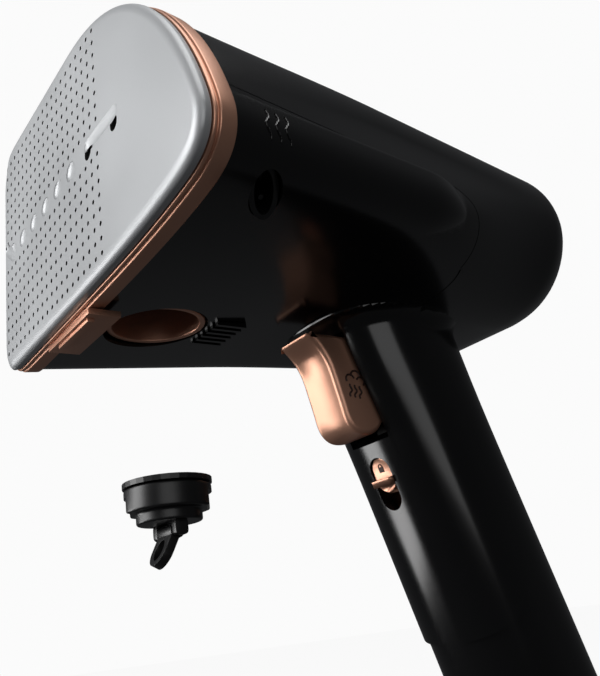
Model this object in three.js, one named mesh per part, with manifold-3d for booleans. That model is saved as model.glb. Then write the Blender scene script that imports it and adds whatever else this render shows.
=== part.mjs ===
// Handheld garment steamer: a barrel that tapers back from an iron-shaped steam plate, on a leaning handle.
// Millimetres, +Z up. The steam plate looks along -Y. The origin is the centre of the handle's flat foot.
// The shapes are worked out in the head frame, whose origin is on the steam face in the handle's plane, and
// in the grip frame, whose Z axis is the handle's own. The head frame is a group placed from the foot.
import * as THREE from "three";
import { mergeVertices } from "three/addons/utils/BufferGeometryUtils.js";
import Module from "manifold-3d";

const wasm = await Module();
wasm.setup();

// ---- Driving dimensions ----
const GAP = 0.3; // air left between two pieces that rest on each other
const FINEST_EDGE = 0.03; // slivers that the cuts leave below this are closed up
const WALL = 2.6; // housing wall

const HEEL_X = -48.2; // flat heel of the plate
const NOSE_X = 73.4; // tip of the nose
const NOSE_Z = -19; // height of the nose tip
const TOP_Z = 35.6; // upper long edge
const BOTTOM_Z = -34.4; // lower long edge
const APEX_Y = 511; // the barrel's lines meet this far behind the steam face
const APEX_Z = -3;

const PLATE_DEPTH = 3.0;
const PLATE_BEVEL = 1.6;
const RING_DEPTH = 5.6;
const RING_PROUD = 0.8; // the trim ring stands this far outside the plate's edge
const RING_WALL = 3.2;
const TAB_FROM_X = -21; // the ring widens into a tab along the underside
const TAB_TO_X = 7;
const TAB_DEPTH = 4;
const TAB_DROP = 1.1;

const BARREL_END_Y = 162;
const BARREL_ROUND = 24.6; // depth of the rounded back end
const BARREL_ROUND_POWER = 1.95; // superelliptic power of that round
const BARREL_END_MIDDLE = [-4, -16]; // (x, z) that the round closes on
const LOBE_END_Y = 90; // the nose lobe ends here and the rear body goes on
const LOBE_ROUND = 20;
const LOBE_INSET = 11;
const REAR_NOSE_X = 64.3; // towards the back, the rear body turns rounder: its nose, before the taper
const REAR_NOSE_Z = -6.1;
const REAR_BOTTOM_Z = -38.3; // and its underside, before the taper
const REAR_NOSE_BY = 70; // the nose has drawn in by this depth
const REAR_SAG_FROM = 60; // the underside comes down between these depths
const REAR_SAG_TO = 135;
const CREASE_Z = -12; // the crease between the two housings, at the ring

const LEAN = THREE.MathUtils.degToRad(18); // the handle leans back
const GRIP_TOP_Y = 101.2; // handle axis, at the height GRIP_TOP_Z
const GRIP_TOP_Z = -30;
const GRIP_LENGTH = 163; // along the axis, from that point to the foot
const GRIP_HALF_WIDTH = 19.5;
const GRIP_HALF_DEPTH = 19.3;
const GRIP_FLARE = 1.5; // extra half depth where the handle meets the barrel
const SLEEVE_PROUD = 1.1; // the front housing's sleeve stands proud of the lower handle
const SLEEVE_END = 96; // lower end of that sleeve, along the axis

const CHAMBER_BACK = 13; // back of the steam chamber
const PORT_X = -6.5; // descaling port in the underside
const PORT_BORE = 11.6; // radius of the collar's bore
const COLLAR_WALL = 1.6;
const MOUTH_CLEAR = 0.7; // between the collar and the hole in the housing
const PORT_MOUTH = PORT_BORE + COLLAR_WALL + MOUTH_CLEAR; // radius of that hole
const COLLAR_HEIGHT = 16.5;
const COLLAR_RIM = 1.4; // the flange stands out this far
const PORT_CLEAR = 0.9; // between the steam chamber and the collar's flange
const PORT_Y = CHAMBER_BACK + PORT_CLEAR + PORT_BORE + COLLAR_WALL + COLLAR_RIM; // behind the chamber
const CAP_CLEAR = 0.7; // between the cap's band and the bore
const CAP_BAND = 6; // height of the cap's band
const CAP_DISC = 2.8; // height of the disc below the band
const CAP_DISC_RADIUS = 8.2;
const CAP_DROP = 50.5; // the cap is held this far below its seat
const CAP_RING_TILT = 28; // degrees that the pull ring hangs off the vertical

const TRIGGER_HALF_WIDTH = 7.5;
const TRIGGER_CLEAR = 0.8; // between the trigger and its window
const SLIDER_ALONG = 41.5; // slot centre along the grip from GRIP_TOP
const SLIDER_SLOT_LENGTH = 16;
const SLIDER_SLOT_WIDTH = 8.2;
const SLIDER_TRAVEL = 5;

const FOOT_THICK = 3;
const GLAND_Y = 7; // the cord gland sits behind the foot's centre
const GLAND_RADIUS = 4.8;
const GLAND_BORE = 3.2;

// ---- Finishes ----
const finish = (color, roughness, metalness) =>
  new THREE.MeshStandardMaterial({ color, roughness, metalness });
const glossBlack = () => finish(0x0b0b0c, 0.12, 0);
const satinBlack = () => finish(0x151516, 0.5, 0);
const roseGold = () => finish(0xc48f73, 0.32, 0.9);
const paleAluminium = () => finish(0xb9bbbd, 0.42, 0.7);
const castAluminium = () => finish(0x9a9c9e, 0.6, 0.9);
const steel = () => finish(0x8d9093, 0.35, 1);
const silicone = () => finish(0xa8372a, 0.7, 0);
const smokedTank = () => finish(0x2a2e33, 0.15, 0);
const greenBoard = () => finish(0x1f5a36, 0.6, 0);

// ---- Solids ----
const v2 = (x, y) => new THREE.Vector2(x, y);
const v3 = (x, y, z) => new THREE.Vector3(x, y, z);

// A closed three.js geometry as a solid that can be cut and joined.
function solidOf(geometry) {
  const bare = new THREE.BufferGeometry();
  bare.setAttribute("position", geometry.getAttribute("position"));
  if (geometry.index) bare.setIndex(geometry.index);
  const merged = mergeVertices(bare, 1e-4);
  return new wasm.Manifold(
    new wasm.Mesh({
      numProp: 3,
      vertProperties: new Float32Array(merged.attributes.position.array),
      triVerts: new Uint32Array(merged.index.array),
    }),
  );
}

function geometryOf(solid) {
  const cut = solid.simplify(FINEST_EDGE).getMesh();
  const geometry = new THREE.BufferGeometry();
  geometry.setAttribute("position", new THREE.BufferAttribute(new Float32Array(cut.vertProperties), 3));
  geometry.setIndex([...cut.triVerts]);
  const faceted = geometry.toNonIndexed();
  faceted.computeVertexNormals();
  return faceted;
}

// Skin through rings of equal point count, closed by a fan at each end, wound outwards.
function loft(rings) {
  const count = rings[0].length;
  const points = rings.flat();
  const faces = [];
  for (let ring = 0; ring + 1 < rings.length; ring++) {
    for (let i = 0; i < count; i++) {
      const a = ring * count + i;
      const b = ring * count + ((i + 1) % count);
      faces.push([a, b, b + count], [a, b + count, a + count]);
    }
  }
  const fan = (ring, first, flip) => {
    const middle = ring.reduce((sum, p) => sum.add(p), v3(0, 0, 0)).divideScalar(count);
    const hub = points.push(middle) - 1;
    for (let i = 0; i < count; i++) {
      const pair = [first + i, first + ((i + 1) % count)];
      faces.push(flip ? [pair[1], pair[0], hub] : [pair[0], pair[1], hub]);
    }
  };
  fan(rings[0], 0, true);
  fan(rings.at(-1), (rings.length - 1) * count, false);
  const sixVolumes = faces.reduce((sum, [a, b, c]) => {
    return sum + points[a].dot(v3(0, 0, 0).crossVectors(points[b], points[c]));
  }, 0);
  const wound = sixVolumes > 0 ? faces : faces.map(([a, b, c]) => [a, c, b]);
  const geometry = new THREE.BufferGeometry();
  geometry.setAttribute("position", new THREE.Float32BufferAttribute(points.flatMap((p) => p.toArray()), 3));
  geometry.setIndex(wound.flat());
  return solidOf(geometry);
}

// Cylinder, box and lathe solids; a cylinder stands on its frame's Z axis from z = low to z = high.
function cylinder(radius, low, high, sides = 24) {
  const geometry = new THREE.CylinderGeometry(radius, radius, high - low, sides);
  geometry.rotateX(Math.PI / 2);
  geometry.translate(0, 0, (low + high) / 2);
  return solidOf(geometry);
}

function box(low, high) {
  const size = high.clone().sub(low);
  const middle = high.clone().add(low).divideScalar(2);
  return solidOf(new THREE.BoxGeometry(...size.toArray()).translate(...middle.toArray()));
}

function lathe(profile, sides = 32) {
  const geometry = new THREE.LatheGeometry(profile.map(([r, z]) => v2(r, z)), sides);
  geometry.rotateX(Math.PI / 2);
  return solidOf(geometry);
}

// Prism of an outline drawn in (y, z), from x = -half to x = half.
function prismAcross(points, half) {
  const shape = new THREE.Shape(points);
  const geometry = new THREE.ExtrudeGeometry(shape, { depth: 2 * half, bevelEnabled: false });
  geometry.translate(0, 0, -half);
  geometry.applyMatrix4(new THREE.Matrix4().makeBasis(v3(0, 1, 0), v3(0, 0, 1), v3(1, 0, 0)));
  return solidOf(geometry);
}

function tube(points, radius, steps, bore = 0) {
  const path = new THREE.CatmullRomCurve3(points);
  const round = (r) => new THREE.Shape(new THREE.EllipseCurve(0, 0, r, r).getPoints(8).slice(0, -1));
  const run = (r) => solidOf(new THREE.ExtrudeGeometry(round(r), { steps, extrudePath: path }));
  return bore > 0 ? run(radius).subtract(run(bore)) : run(radius);
}

const turned = (solid, matrix) => solid.transform(matrix.elements);
const moved = (solid, x, y, z) => solid.translate([x, y, z]);
const joined = (solids) => solids.reduce((sum, one) => sum.add(one));

// Cylinders that lie along Y or along X.
const yCylinder = (radius, low, high, x, z, sides = 24) =>
  moved(cylinder(radius, low, high, sides).rotate([-90, 0, 0]), x, 0, z);
const xCylinder = (radius, low, high, y, z, sides = 20) =>
  moved(cylinder(radius, low, high, sides).rotate([0, 90, 0]), 0, y, z);

// Moves every point of a closed outline inwards by a distance, or outwards when it is negative.
function inset(points, distance) {
  const turn = Math.sign(THREE.ShapeUtils.area(points));
  return points.map((point, i) => {
    const before = point.clone().sub(points.at(i - 1)).normalize();
    const after = points[(i + 1) % points.length].clone().sub(point).normalize();
    const along = before.add(after).normalize();
    return point.clone().add(v2(-along.y, along.x).multiplyScalar(turn * distance));
  });
}

// ---- Head frame: the iron-shaped outline and everything that tapers with it ----
const OUTLINE_STEPS = 8; // points on each curve of the outline
const SHOULDER_X = 10; // the upper edge is straight from the heel to here

function headOutline() {
  const shape = new THREE.Shape();
  shape.moveTo(HEEL_X, TOP_Z - 12);
  shape.quadraticCurveTo(HEEL_X, TOP_Z, HEEL_X + 14, TOP_Z);
  shape.lineTo(SHOULDER_X, TOP_Z);
  shape.bezierCurveTo(SHOULDER_X + 30, TOP_Z, NOSE_X - 9.4, NOSE_Z + 33, NOSE_X, NOSE_Z);
  shape.bezierCurveTo(NOSE_X + 1.2, NOSE_Z - 8, NOSE_X - 4, BOTTOM_Z + 5, NOSE_X - 13, BOTTOM_Z + 3.8);
  shape.bezierCurveTo(NOSE_X - 28, BOTTOM_Z + 1.8, NOSE_X - 45, BOTTOM_Z + 1.2, 8, BOTTOM_Z + 0.8);
  shape.lineTo(HEEL_X + 8, BOTTOM_Z);
  shape.quadraticCurveTo(HEEL_X, BOTTOM_Z, HEEL_X, BOTTOM_Z + 8);
  shape.closePath();
  return shape.getPoints(OUTLINE_STEPS).slice(0, -1);
}

// The rounder outline that the rear body turns into, point for point with the head's.
function roundOutline() {
  const noseX = REAR_NOSE_X;
  const noseZ = REAR_NOSE_Z;
  const low = REAR_BOTTOM_Z;
  const shape = new THREE.Shape();
  shape.moveTo(HEEL_X, TOP_Z - 12);
  shape.quadraticCurveTo(HEEL_X, TOP_Z, HEEL_X + 14, TOP_Z);
  shape.lineTo(SHOULDER_X, TOP_Z);
  shape.bezierCurveTo(SHOULDER_X + 24.7, TOP_Z, noseX, noseZ + 26.5, noseX, noseZ);
  shape.bezierCurveTo(noseX, noseZ - 14.4, 51, low, 22.8, low);
  shape.bezierCurveTo(18, low, 13, low, 8, low);
  shape.lineTo(HEEL_X + 14, low);
  shape.quadraticCurveTo(HEEL_X, low, HEEL_X, low + 14);
  shape.closePath();
  return shape.getPoints(OUTLINE_STEPS).slice(0, -1);
}

const OUTLINE = headOutline();
const ROUND_OUTLINE = roundOutline();

// The rear body's outline at depth y: above, it turns rounder behind the plate, and below, from the lobe on.
function rearOutline(y) {
  const above = THREE.MathUtils.smoothstep(y, 0, REAR_NOSE_BY);
  const below = THREE.MathUtils.smoothstep(y, REAR_SAG_FROM, REAR_SAG_TO);
  return OUTLINE.map((p, i) => {
    const share = THREE.MathUtils.smoothstep(-p.y, 8, 24);
    return p.clone().lerp(ROUND_OUTLINE[i], above + (below - above) * share);
  });
}

// The outline at depth y: it shrinks towards the apex.
function section(points, y) {
  const scale = 1 - y / APEX_Y;
  return points.map((p) => v3(p.x * scale, y, APEX_Z + (p.y - APEX_Z) * scale));
}

// A point on the head's skin line through outline point (x, z), at depth y.
const onTaper = (x, z, y) => section([v2(x, z)], y)[0];

// The rear body, inset by a margin: it ends in a round, where it shrinks like a superellipse.
function rearBody(margin, start, end, round) {
  const straight = [0, 0.15, 0.3, 0.45, 0.6, 0.8, 1].map((share) => start + (end - round - start) * share);
  const rings = straight.map((y) => section(inset(rearOutline(y), margin), y));
  const middle = v2(...BARREL_END_MIDDLE);
  for (const share of [0.35, 0.6, 0.8, 0.93, 0.985]) {
    const shrink = (1 - share ** BARREL_ROUND_POWER) ** (1 / BARREL_ROUND_POWER);
    const y = end - round + round * share;
    const ring = inset(rearOutline(y), margin);
    rings.push(section(ring.map((p) => p.sub(middle).multiplyScalar(shrink).add(middle)), y));
  }
  return loft(rings);
}

// The nose lobe: the full outline, which draws in and sinks into the rear body at its end.
function lobe(points, start, end) {
  const rings = [section(points, start), section(points, end - LOBE_ROUND)];
  for (const share of [0.35, 0.65, 0.85, 0.97, 1]) {
    const drawIn = LOBE_INSET * (1 - Math.sqrt(1 - share ** 2));
    rings.push(section(inset(points, drawIn), end - LOBE_ROUND + LOBE_ROUND * share));
  }
  return loft(rings);
}

// ---- Grip frame: z runs up the handle's own axis, y towards its back ----
const gripMatrix = new THREE.Matrix4()
  .makeTranslation(0, GRIP_TOP_Y, GRIP_TOP_Z)
  .multiply(new THREE.Matrix4().makeRotationX(LEAN));
const gripPoint = (y, along) => {
  const p = v3(0, y, -along).applyMatrix4(gripMatrix);
  return v2(p.y, p.z);
};

// Superelliptic handle section at a distance along the axis, grown by a margin.
function gripRing(along, margin) {
  const flare = GRIP_FLARE * Math.exp(-((Math.max(along, 0) / 22) ** 2));
  const halfWidth = GRIP_HALF_WIDTH + margin;
  const halfDepth = GRIP_HALF_DEPTH + margin + flare;
  const sides = 36;
  return Array.from({ length: sides }, (_, i) => {
    const angle = (i / sides) * 2 * Math.PI;
    const x = Math.sign(Math.cos(angle)) * Math.abs(Math.cos(angle)) ** 0.8 * halfWidth;
    const y = Math.sign(Math.sin(angle)) * Math.abs(Math.sin(angle)) ** 0.8 * halfDepth;
    return v3(x, y, -along);
  });
}

function grip(margin, from, to) {
  const stops = [from, 0, 10, 20, 32, 46, to].filter((along, i, all) => i === 0 || along > all[0]);
  return turned(loft(stops.map((along) => gripRing(along, margin))), gripMatrix);
}

// ---- The two housings ----
// Everything in front of this line, seen from the side, belongs to the front housing: below the crease on
// the barrel, round the end of the lobe, and down the handle's flank to the end of the sleeve.
function frontRegion() {
  const creaseAt = (y) => onTaper(0, CREASE_Z, y).z;
  const shape = new THREE.Shape();
  const creaseEnd = LOBE_END_Y - LOBE_ROUND;
  shape.moveTo(-12, creaseAt(-12));
  shape.lineTo(creaseEnd, creaseAt(creaseEnd));
  shape.quadraticCurveTo(LOBE_END_Y + 3, creaseAt(creaseEnd) - 1, LOBE_END_Y + 4, creaseAt(creaseEnd) - 16);
  const flank = gripPoint(0.5, 12);
  shape.quadraticCurveTo(flank.x - 5, flank.y + 12, flank.x, flank.y);
  const flankEnd = gripPoint(0.5, SLEEVE_END - 30);
  shape.lineTo(flankEnd.x, flankEnd.y);
  const bend = gripPoint(0.5, SLEEVE_END - 14);
  const front = gripPoint(-12, SLEEVE_END - 8);
  shape.quadraticCurveTo(bend.x, bend.y, front.x, front.y);
  const lip = gripPoint(-60, SLEEVE_END);
  shape.lineTo(lip.x, lip.y);
  shape.lineTo(-12, lip.y);
  shape.closePath();
  return shape.getPoints(8).slice(0, -1);
}

const HOUSING_START = PLATE_DEPTH + RING_DEPTH + GAP;
const FRONT_REGION = frontRegion();
const beltHalf = 120; // the cutting prisms run right across the object
const frontSpace = prismAcross(FRONT_REGION, beltHalf);
const frontSpaceGrown = prismAcross(inset(FRONT_REGION, -GAP), beltHalf);

// The room inside the rear body and the handle, and inside the lobe below the shelf that closes it on top.
const bodyHollow = joined([
  rearBody(WALL, HOUSING_START - 1, BARREL_END_Y - WALL, BARREL_ROUND - WALL),
  grip(-WALL, -12, GRIP_LENGTH + 5),
]);
const lobeHollow = lobe(inset(OUTLINE, WALL), HOUSING_START - 2, LOBE_END_Y - WALL).intersect(
  prismAcross(inset(FRONT_REGION, WALL), beltHalf),
);

// ---- Trigger geometry, seen from the side in (y, z) ----
const PIVOT = v2(94, -38);
const PIN_RADIUS = 1.6;
const TRIGGER_SWING = 7; // degrees

function triggerProfile() {
  const shape = new THREE.Shape();
  shape.moveTo(67.2, -33.8);
  shape.quadraticCurveTo(74.1, -39, 75.2, -46);
  shape.lineTo(77.2, -55);
  shape.quadraticCurveTo(77.8, -62.4, 83, -63.2);
  shape.quadraticCurveTo(90, -63.6, 91.5, -58.5);
  shape.lineTo(94.5, -58);
  shape.lineTo(97.4, -40);
  shape.quadraticCurveTo(97.6, -34.4, 94, -34.3);
  shape.lineTo(82, -33.6);
  shape.closePath();
  return shape.getPoints(6).slice(0, -1);
}

const TRIGGER_PROFILE = triggerProfile();
const swung = (points, degrees) =>
  points.map((p) => p.clone().rotateAround(PIVOT, THREE.MathUtils.degToRad(degrees)));

// Window for the trigger: its own outline, the pressed one and a clearance all round.
function triggerWindow() {
  const half = TRIGGER_HALF_WIDTH + TRIGGER_CLEAR;
  const poses = [0, TRIGGER_SWING / 2, TRIGGER_SWING];
  const grown = (angle) => inset(swung(TRIGGER_PROFILE, angle), -TRIGGER_CLEAR);
  return joined(poses.map((angle) => prismAcross(grown(angle), half)));
}

// ---- Descaling port: its axis is upright ----
const undersideAt = (y) => onTaper(0, BOTTOM_Z, y).z;
const portMatrix = new THREE.Matrix4().makeTranslation(PORT_X, PORT_Y, undersideAt(PORT_Y));
const inPort = (solid) => turned(solid, portMatrix); // z = 0 is the skin, z runs into the head
const COLLAR_LOW = 1.2; // lower lip of the collar, just inside the skin
const COLLAR_FLANGE = WALL + GAP + 1.7; // its flange rests above the housing wall
const CAP_RADIUS = PORT_BORE - CAP_CLEAR;
const CAP_SEAT = CAP_DISC - 0.6; // underside of the band when the cap is home

// ---- Slider slot, in the grip frame ----
const SLOT_FLARE = GRIP_FLARE * Math.exp(-((SLIDER_ALONG / 22) ** 2));
const SLOT_FRONT = -(GRIP_HALF_DEPTH + SLEEVE_PROUD + SLOT_FLARE);

// Upright slot with round ends, as a prism through the handle's front wall.
function slotPrism(length, width, yLow, yHigh) {
  const straight = length / 2 - width / 2;
  const shape = new THREE.Shape();
  shape.absarc(0, straight, width / 2, 0, Math.PI, false);
  shape.absarc(0, -straight, width / 2, Math.PI, 2 * Math.PI, false);
  const depth = yHigh - yLow;
  const geometry = new THREE.ExtrudeGeometry(shape, { depth, bevelEnabled: false, curveSegments: 8 });
  geometry.rotateX(Math.PI / 2); // drawn in (x, z), and running from y = 0 to y = -depth
  geometry.translate(0, yHigh, -SLIDER_ALONG);
  return solidOf(geometry);
}

// ---- Attachment catch: an oval socket in the nose lobe's lower flank ----
const CATCH = { centre: v3(60.4, 21.5, -28.4), normal: v3(0.52, -0.03, -0.85).normalize() };
const catchMatrix = (() => {
  const around = v3(0.767, -0.416, 0.482).normalize();
  const depth = CATCH.normal;
  const along = v3(0, 0, 0).crossVectors(depth, around).normalize();
  const square = v3(0, 0, 0).crossVectors(along, depth).normalize();
  return new THREE.Matrix4().makeBasis(square, along, depth).setPosition(CATCH.centre);
})();
const ovalPrism = (grow, low, high) =>
  turned(cylinder(1, low, high).scale([6.9 + grow, 3.6 + grow, 1]), catchMatrix);

// ---- Filler in the top of the rear housing ----
const FILLER_Y = 118;
const FILLER_X = 0;
const FILLER_RADIUS = 11;
const FILLER_Z = onTaper(0, TOP_Z, FILLER_Y).z;
const FLAP_THICK = 2.2;

function frontHousing() {
  const slot = slotPrism(SLIDER_SLOT_LENGTH, SLIDER_SLOT_WIDTH, SLOT_FRONT - 6, SLOT_FRONT + 8);
  const skin = joined([
    lobe(OUTLINE, HOUSING_START, LOBE_END_Y),
    rearBody(0, HOUSING_START, BARREL_END_Y, BARREL_ROUND),
    grip(SLEEVE_PROUD, -12, SLEEVE_END + 20),
  ]);
  return skin
    .intersect(frontSpace)
    .subtract(bodyHollow)
    .subtract(lobeHollow)
    .subtract(triggerWindow())
    .subtract(inPort(cylinder(PORT_MOUTH, -6, 12)))
    .subtract(inPort(box(v3(-9, PORT_MOUTH + 1.4, -4), v3(8, PORT_MOUTH + 9.4, 1.4))))
    .subtract(turned(slot, gripMatrix))
    .subtract(ovalPrism(0, -8, 8));
}

function rearHousing() {
  const skin = joined([
    rearBody(0, HOUSING_START, BARREL_END_Y, BARREL_ROUND),
    grip(0, -12, GRIP_LENGTH - FOOT_THICK - GAP),
  ]);
  return skin
    .subtract(frontSpaceGrown)
    .subtract(bodyHollow)
    .subtract(moved(cylinder(FILLER_RADIUS, FILLER_Z - 12, FILLER_Z + 6), FILLER_X, FILLER_Y, 0));
}

const CAVITY_WALL = 4; // wall of the steam chamber round its cavity
const CHAMBER_INSET = 5.5;
const CHAMBER_START = PLATE_DEPTH + 2.1;
const VENTS = [v2(36.7, -2.5), v2(21.5, -1.2)]; // steam outlets (x, z), right through the plate
const VENT_RADIUS = 1.9;
const DIMPLE_FIRST = 10.2; // blind oval dimples carry the row on towards the heel
const DIMPLE_PITCH = 9.4;
const DIMPLE_COUNT = 6;

// ---- Front end ----
// The plate's rim rolls back from the flat steam face.
function steamPlate() {
  const rim = [
    [0, 2.4],
    [0.35, 1.1],
    [0.9, 0.35],
    [PLATE_BEVEL, 0],
    [PLATE_DEPTH, 0],
  ];
  const outlets = VENTS.map((at) => yCylinder(VENT_RADIUS, -1, 6, at.x, at.y, 16));
  const dimple = (x) => moved(cylinder(1, -1, 1, 16).rotate([-90, 0, 0]).scale([2.7, 1, 1.9]), x, 0, 0);
  const dimples = Array.from({ length: DIMPLE_COUNT }, (_, i) => dimple(DIMPLE_FIRST - i * DIMPLE_PITCH));
  const blank = loft(rim.map(([y, drawIn]) => section(inset(OUTLINE, drawIn), y)));
  return blank.subtract(joined([...outlets, ...dimples]));
}

// A flat frame that follows the outline between two insets.
function outlineFrame(outer, inner, from, to) {
  const slab = (margin, low, high) => loft([low, high].map((y) => section(inset(OUTLINE, margin), y)));
  return slab(outer, from, to).subtract(slab(inner, from - 1, to + 1));
}

function plateGasket() {
  return outlineFrame(CHAMBER_INSET, CHAMBER_INSET + 3, PLATE_DEPTH + GAP, CHAMBER_START - GAP);
}

function trimRing() {
  const from = PLATE_DEPTH + GAP;
  const to = from + RING_DEPTH - GAP;
  const band = outlineFrame(-RING_PROUD, RING_WALL, from, to);
  const skin = undersideAt(to) - 0.9;
  const tab = box(v3(TAB_FROM_X, from + 1, skin - TAB_DROP), v3(TAB_TO_X, to + TAB_DEPTH, skin + 0.4));
  const bar = box(v3(-16, to - 3.4, skin - TAB_DROP - 0.8), v3(4, to - 1.6, skin));
  return band.add(tab).add(bar);
}

function steamChamber() {
  const slab = (margin, low, high) => loft([low, high].map((y) => section(inset(OUTLINE, margin), y)));
  return slab(CHAMBER_INSET, CHAMBER_START, CHAMBER_BACK)
    .subtract(slab(CHAMBER_INSET + CAVITY_WALL, CHAMBER_START - 1, CHAMBER_BACK - 3));
}

// The element runs along the chamber's back in one long U.
function heatingElement() {
  const y = CHAMBER_BACK + GAP + 3.2;
  const bend = 14; // radius of the U
  const middle = 6; // height of its middle line
  const points = [v3(32, y, middle + bend), v3(10, y, middle + bend), v3(-18, y, middle + bend)];
  for (const angle of [30, 60, 90, 120, 150]) {
    const turn = THREE.MathUtils.degToRad(angle);
    points.push(v3(-18 - bend * Math.sin(turn), y, middle + bend * Math.cos(turn)));
  }
  points.push(v3(-18, y, middle - bend), v3(10, y, middle - bend), v3(32, y, middle - bend));
  return tube(points, 3.2, 36);
}

const DELIVERY_END = v3(31, CHAMBER_BACK + GAP, 2);
const DRAIN_END = v3(PORT_X, CHAMBER_BACK + GAP, 1);

// Flat carrier between the hot chamber and the rest, with room for the collar and both tubes.
function heatShield() {
  const from = 22.5;
  const slab = loft([from, from + 2].map((y) => section(inset(rearOutline(y), 6), y)));
  return slab
    .subtract(inPort(cylinder(PORT_BORE + COLLAR_WALL + COLLAR_RIM + 1, -20, COLLAR_LOW + COLLAR_HEIGHT + 4)))
    .subtract(yCylinder(4.6, 10, 40, DELIVERY_END.x, DELIVERY_END.z))
    .subtract(ovalPrism(1.2, -12, 3))
    .subtract(box(v3(PORT_X - 5.2, 10, -20), v3(PORT_X + 5.2, 40, 6)));
}

// ---- Descaling port ----
const collarTop = COLLAR_LOW + COLLAR_HEIGHT;

function descaleCollar() {
  const outer = PORT_BORE + COLLAR_WALL;
  const profile = [
    [PORT_BORE, COLLAR_LOW],
    [outer, COLLAR_LOW],
    [outer, COLLAR_FLANGE],
    [outer + COLLAR_RIM, COLLAR_FLANGE],
    [outer + COLLAR_RIM, COLLAR_FLANGE + 1.8],
    [outer, COLLAR_FLANGE + 1.8],
    [outer, collarTop],
    [PORT_BORE, collarTop],
    [PORT_BORE, COLLAR_LOW],
  ];
  return inPort(lathe(profile));
}

// Lid on the collar with a pipe that leads forward into the steam chamber.
function drainElbow() {
  const base = collarTop + GAP;
  const lid = inPort(cylinder(PORT_BORE + COLLAR_WALL, base, base + 1.8));
  const start = (height) => v3(0, 0, base + height).applyMatrix4(portMatrix);
  const bend = v3(PORT_X, PORT_Y - 2, DRAIN_END.z - 4);
  const level = v3(PORT_X, PORT_Y - 7, DRAIN_END.z);
  const pipe = tube([start(0.6), bend, level, DRAIN_END], 3.8, 12);
  const bore = tube([start(-1), bend, level, DRAIN_END.clone().setY(10)], 2.3, 12);
  return lid.add(pipe).subtract(bore);
}

// The cap: a band with two bayonet notches, a spigot for the seal above it and a disc with lugs below it.
const RING_AXIS_DROP = CAP_DISC + 2.2; // hinge of the pull ring, below the band's underside
const atCap = (solid) => inPort(moved(solid, 0, 0, CAP_SEAT - CAP_DROP));

function descaleCap() {
  const turnedBody = lathe([
    [0, -CAP_DISC],
    [CAP_DISC_RADIUS, -CAP_DISC],
    [CAP_DISC_RADIUS, 0],
    [CAP_RADIUS, 0],
    [CAP_RADIUS, CAP_BAND],
    [8.6, CAP_BAND],
    [8.6, CAP_BAND + 1.6],
    [0, CAP_BAND + 1.6],
  ]);
  const notch = box(v3(-4.2, -CAP_RADIUS - 2, -1), v3(4.2, -CAP_RADIUS + 1.6, 4));
  const lug = box(v3(4.3, -1.7, -RING_AXIS_DROP - 1.4), v3(6.3, 1.7, -CAP_DISC + 0.4));
  const body = turnedBody.add(lug).add(moved(lug, -10.6, 0, 0));
  return atCap(
    body
      .subtract(notch.rotate([0, 0, -30]))
      .subtract(notch.rotate([0, 0, 150]))
      .subtract(xCylinder(1.2, -8, 8, 0, -RING_AXIS_DROP, 16)),
  );
}

function capSeal() {
  const low = CAP_BAND + GAP;
  const profile = [
    [8.9, low],
    [CAP_RADIUS + 0.3, low],
    [CAP_RADIUS + 0.3, low + 1.3],
    [8.9, low + 1.3],
    [8.9, low],
  ];
  return atCap(lathe(profile));
}

// Flat pull ring that hangs from the cap's lugs on a pin.
function capRing() {
  const shape = new THREE.Shape();
  shape.moveTo(-3.9, 1.3);
  shape.lineTo(-3.9, -5.4);
  shape.absarc(0, -5.4, 3.9, Math.PI, 2 * Math.PI, false);
  shape.lineTo(3.9, 1.3);
  shape.closePath();
  const loop = new THREE.Path();
  loop.absellipse(0, -5.2, 2.1, 2.7, 0, 2 * Math.PI, true);
  shape.holes.push(loop);
  const thick = 2.2;
  const geometry = new THREE.ExtrudeGeometry(shape, { depth: thick, bevelEnabled: false, curveSegments: 10 });
  geometry.translate(0, 0, -thick / 2);
  geometry.rotateX(Math.PI / 2);
  const knuckle = xCylinder(1.9, -3.9, 3.9, 0, 0, 20);
  const plate = solidOf(geometry).add(knuckle).subtract(xCylinder(1.2, -8, 8, 0, 0, 16));
  return atCap(moved(plate.rotate([-CAP_RING_TILT, 0, 0]), 0, 0, -RING_AXIS_DROP));
}

// ---- Trigger group ----
function trigger() {
  const block = prismAcross(TRIGGER_PROFILE, TRIGGER_HALF_WIDTH);
  return block.subtract(xCylinder(PIN_RADIUS + GAP, -20, 20, PIVOT.x, PIVOT.y));
}

const CHEEK_IN = TRIGGER_HALF_WIDTH + TRIGGER_CLEAR + 0.5;
const SWITCH_FRONT = 97.4;
const SWITCH_BACK = 103;

// Bracket inside the handle: two cheeks for the pivot pin and a back wall behind the switch.
function triggerBracket() {
  const wallY = SWITCH_BACK + GAP;
  const back = box(v3(-CHEEK_IN - 1.6, wallY, -64), v3(CHEEK_IN + 1.6, wallY + 1.8, -33.4));
  const cheek = box(v3(CHEEK_IN, 91.6, -42), v3(CHEEK_IN + 1.6, SWITCH_BACK + 1, -33.4));
  const pair = cheek.add(moved(cheek, -2 * CHEEK_IN - 1.6, 0, 0));
  return back.add(pair).subtract(xCylinder(PIN_RADIUS + GAP, -20, 20, PIVOT.x, PIVOT.y));
}

const SPRING_Z = -49;
const TRIGGER_BACK_Y = 96.8; // back of the trigger where the spring bears on it

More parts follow.
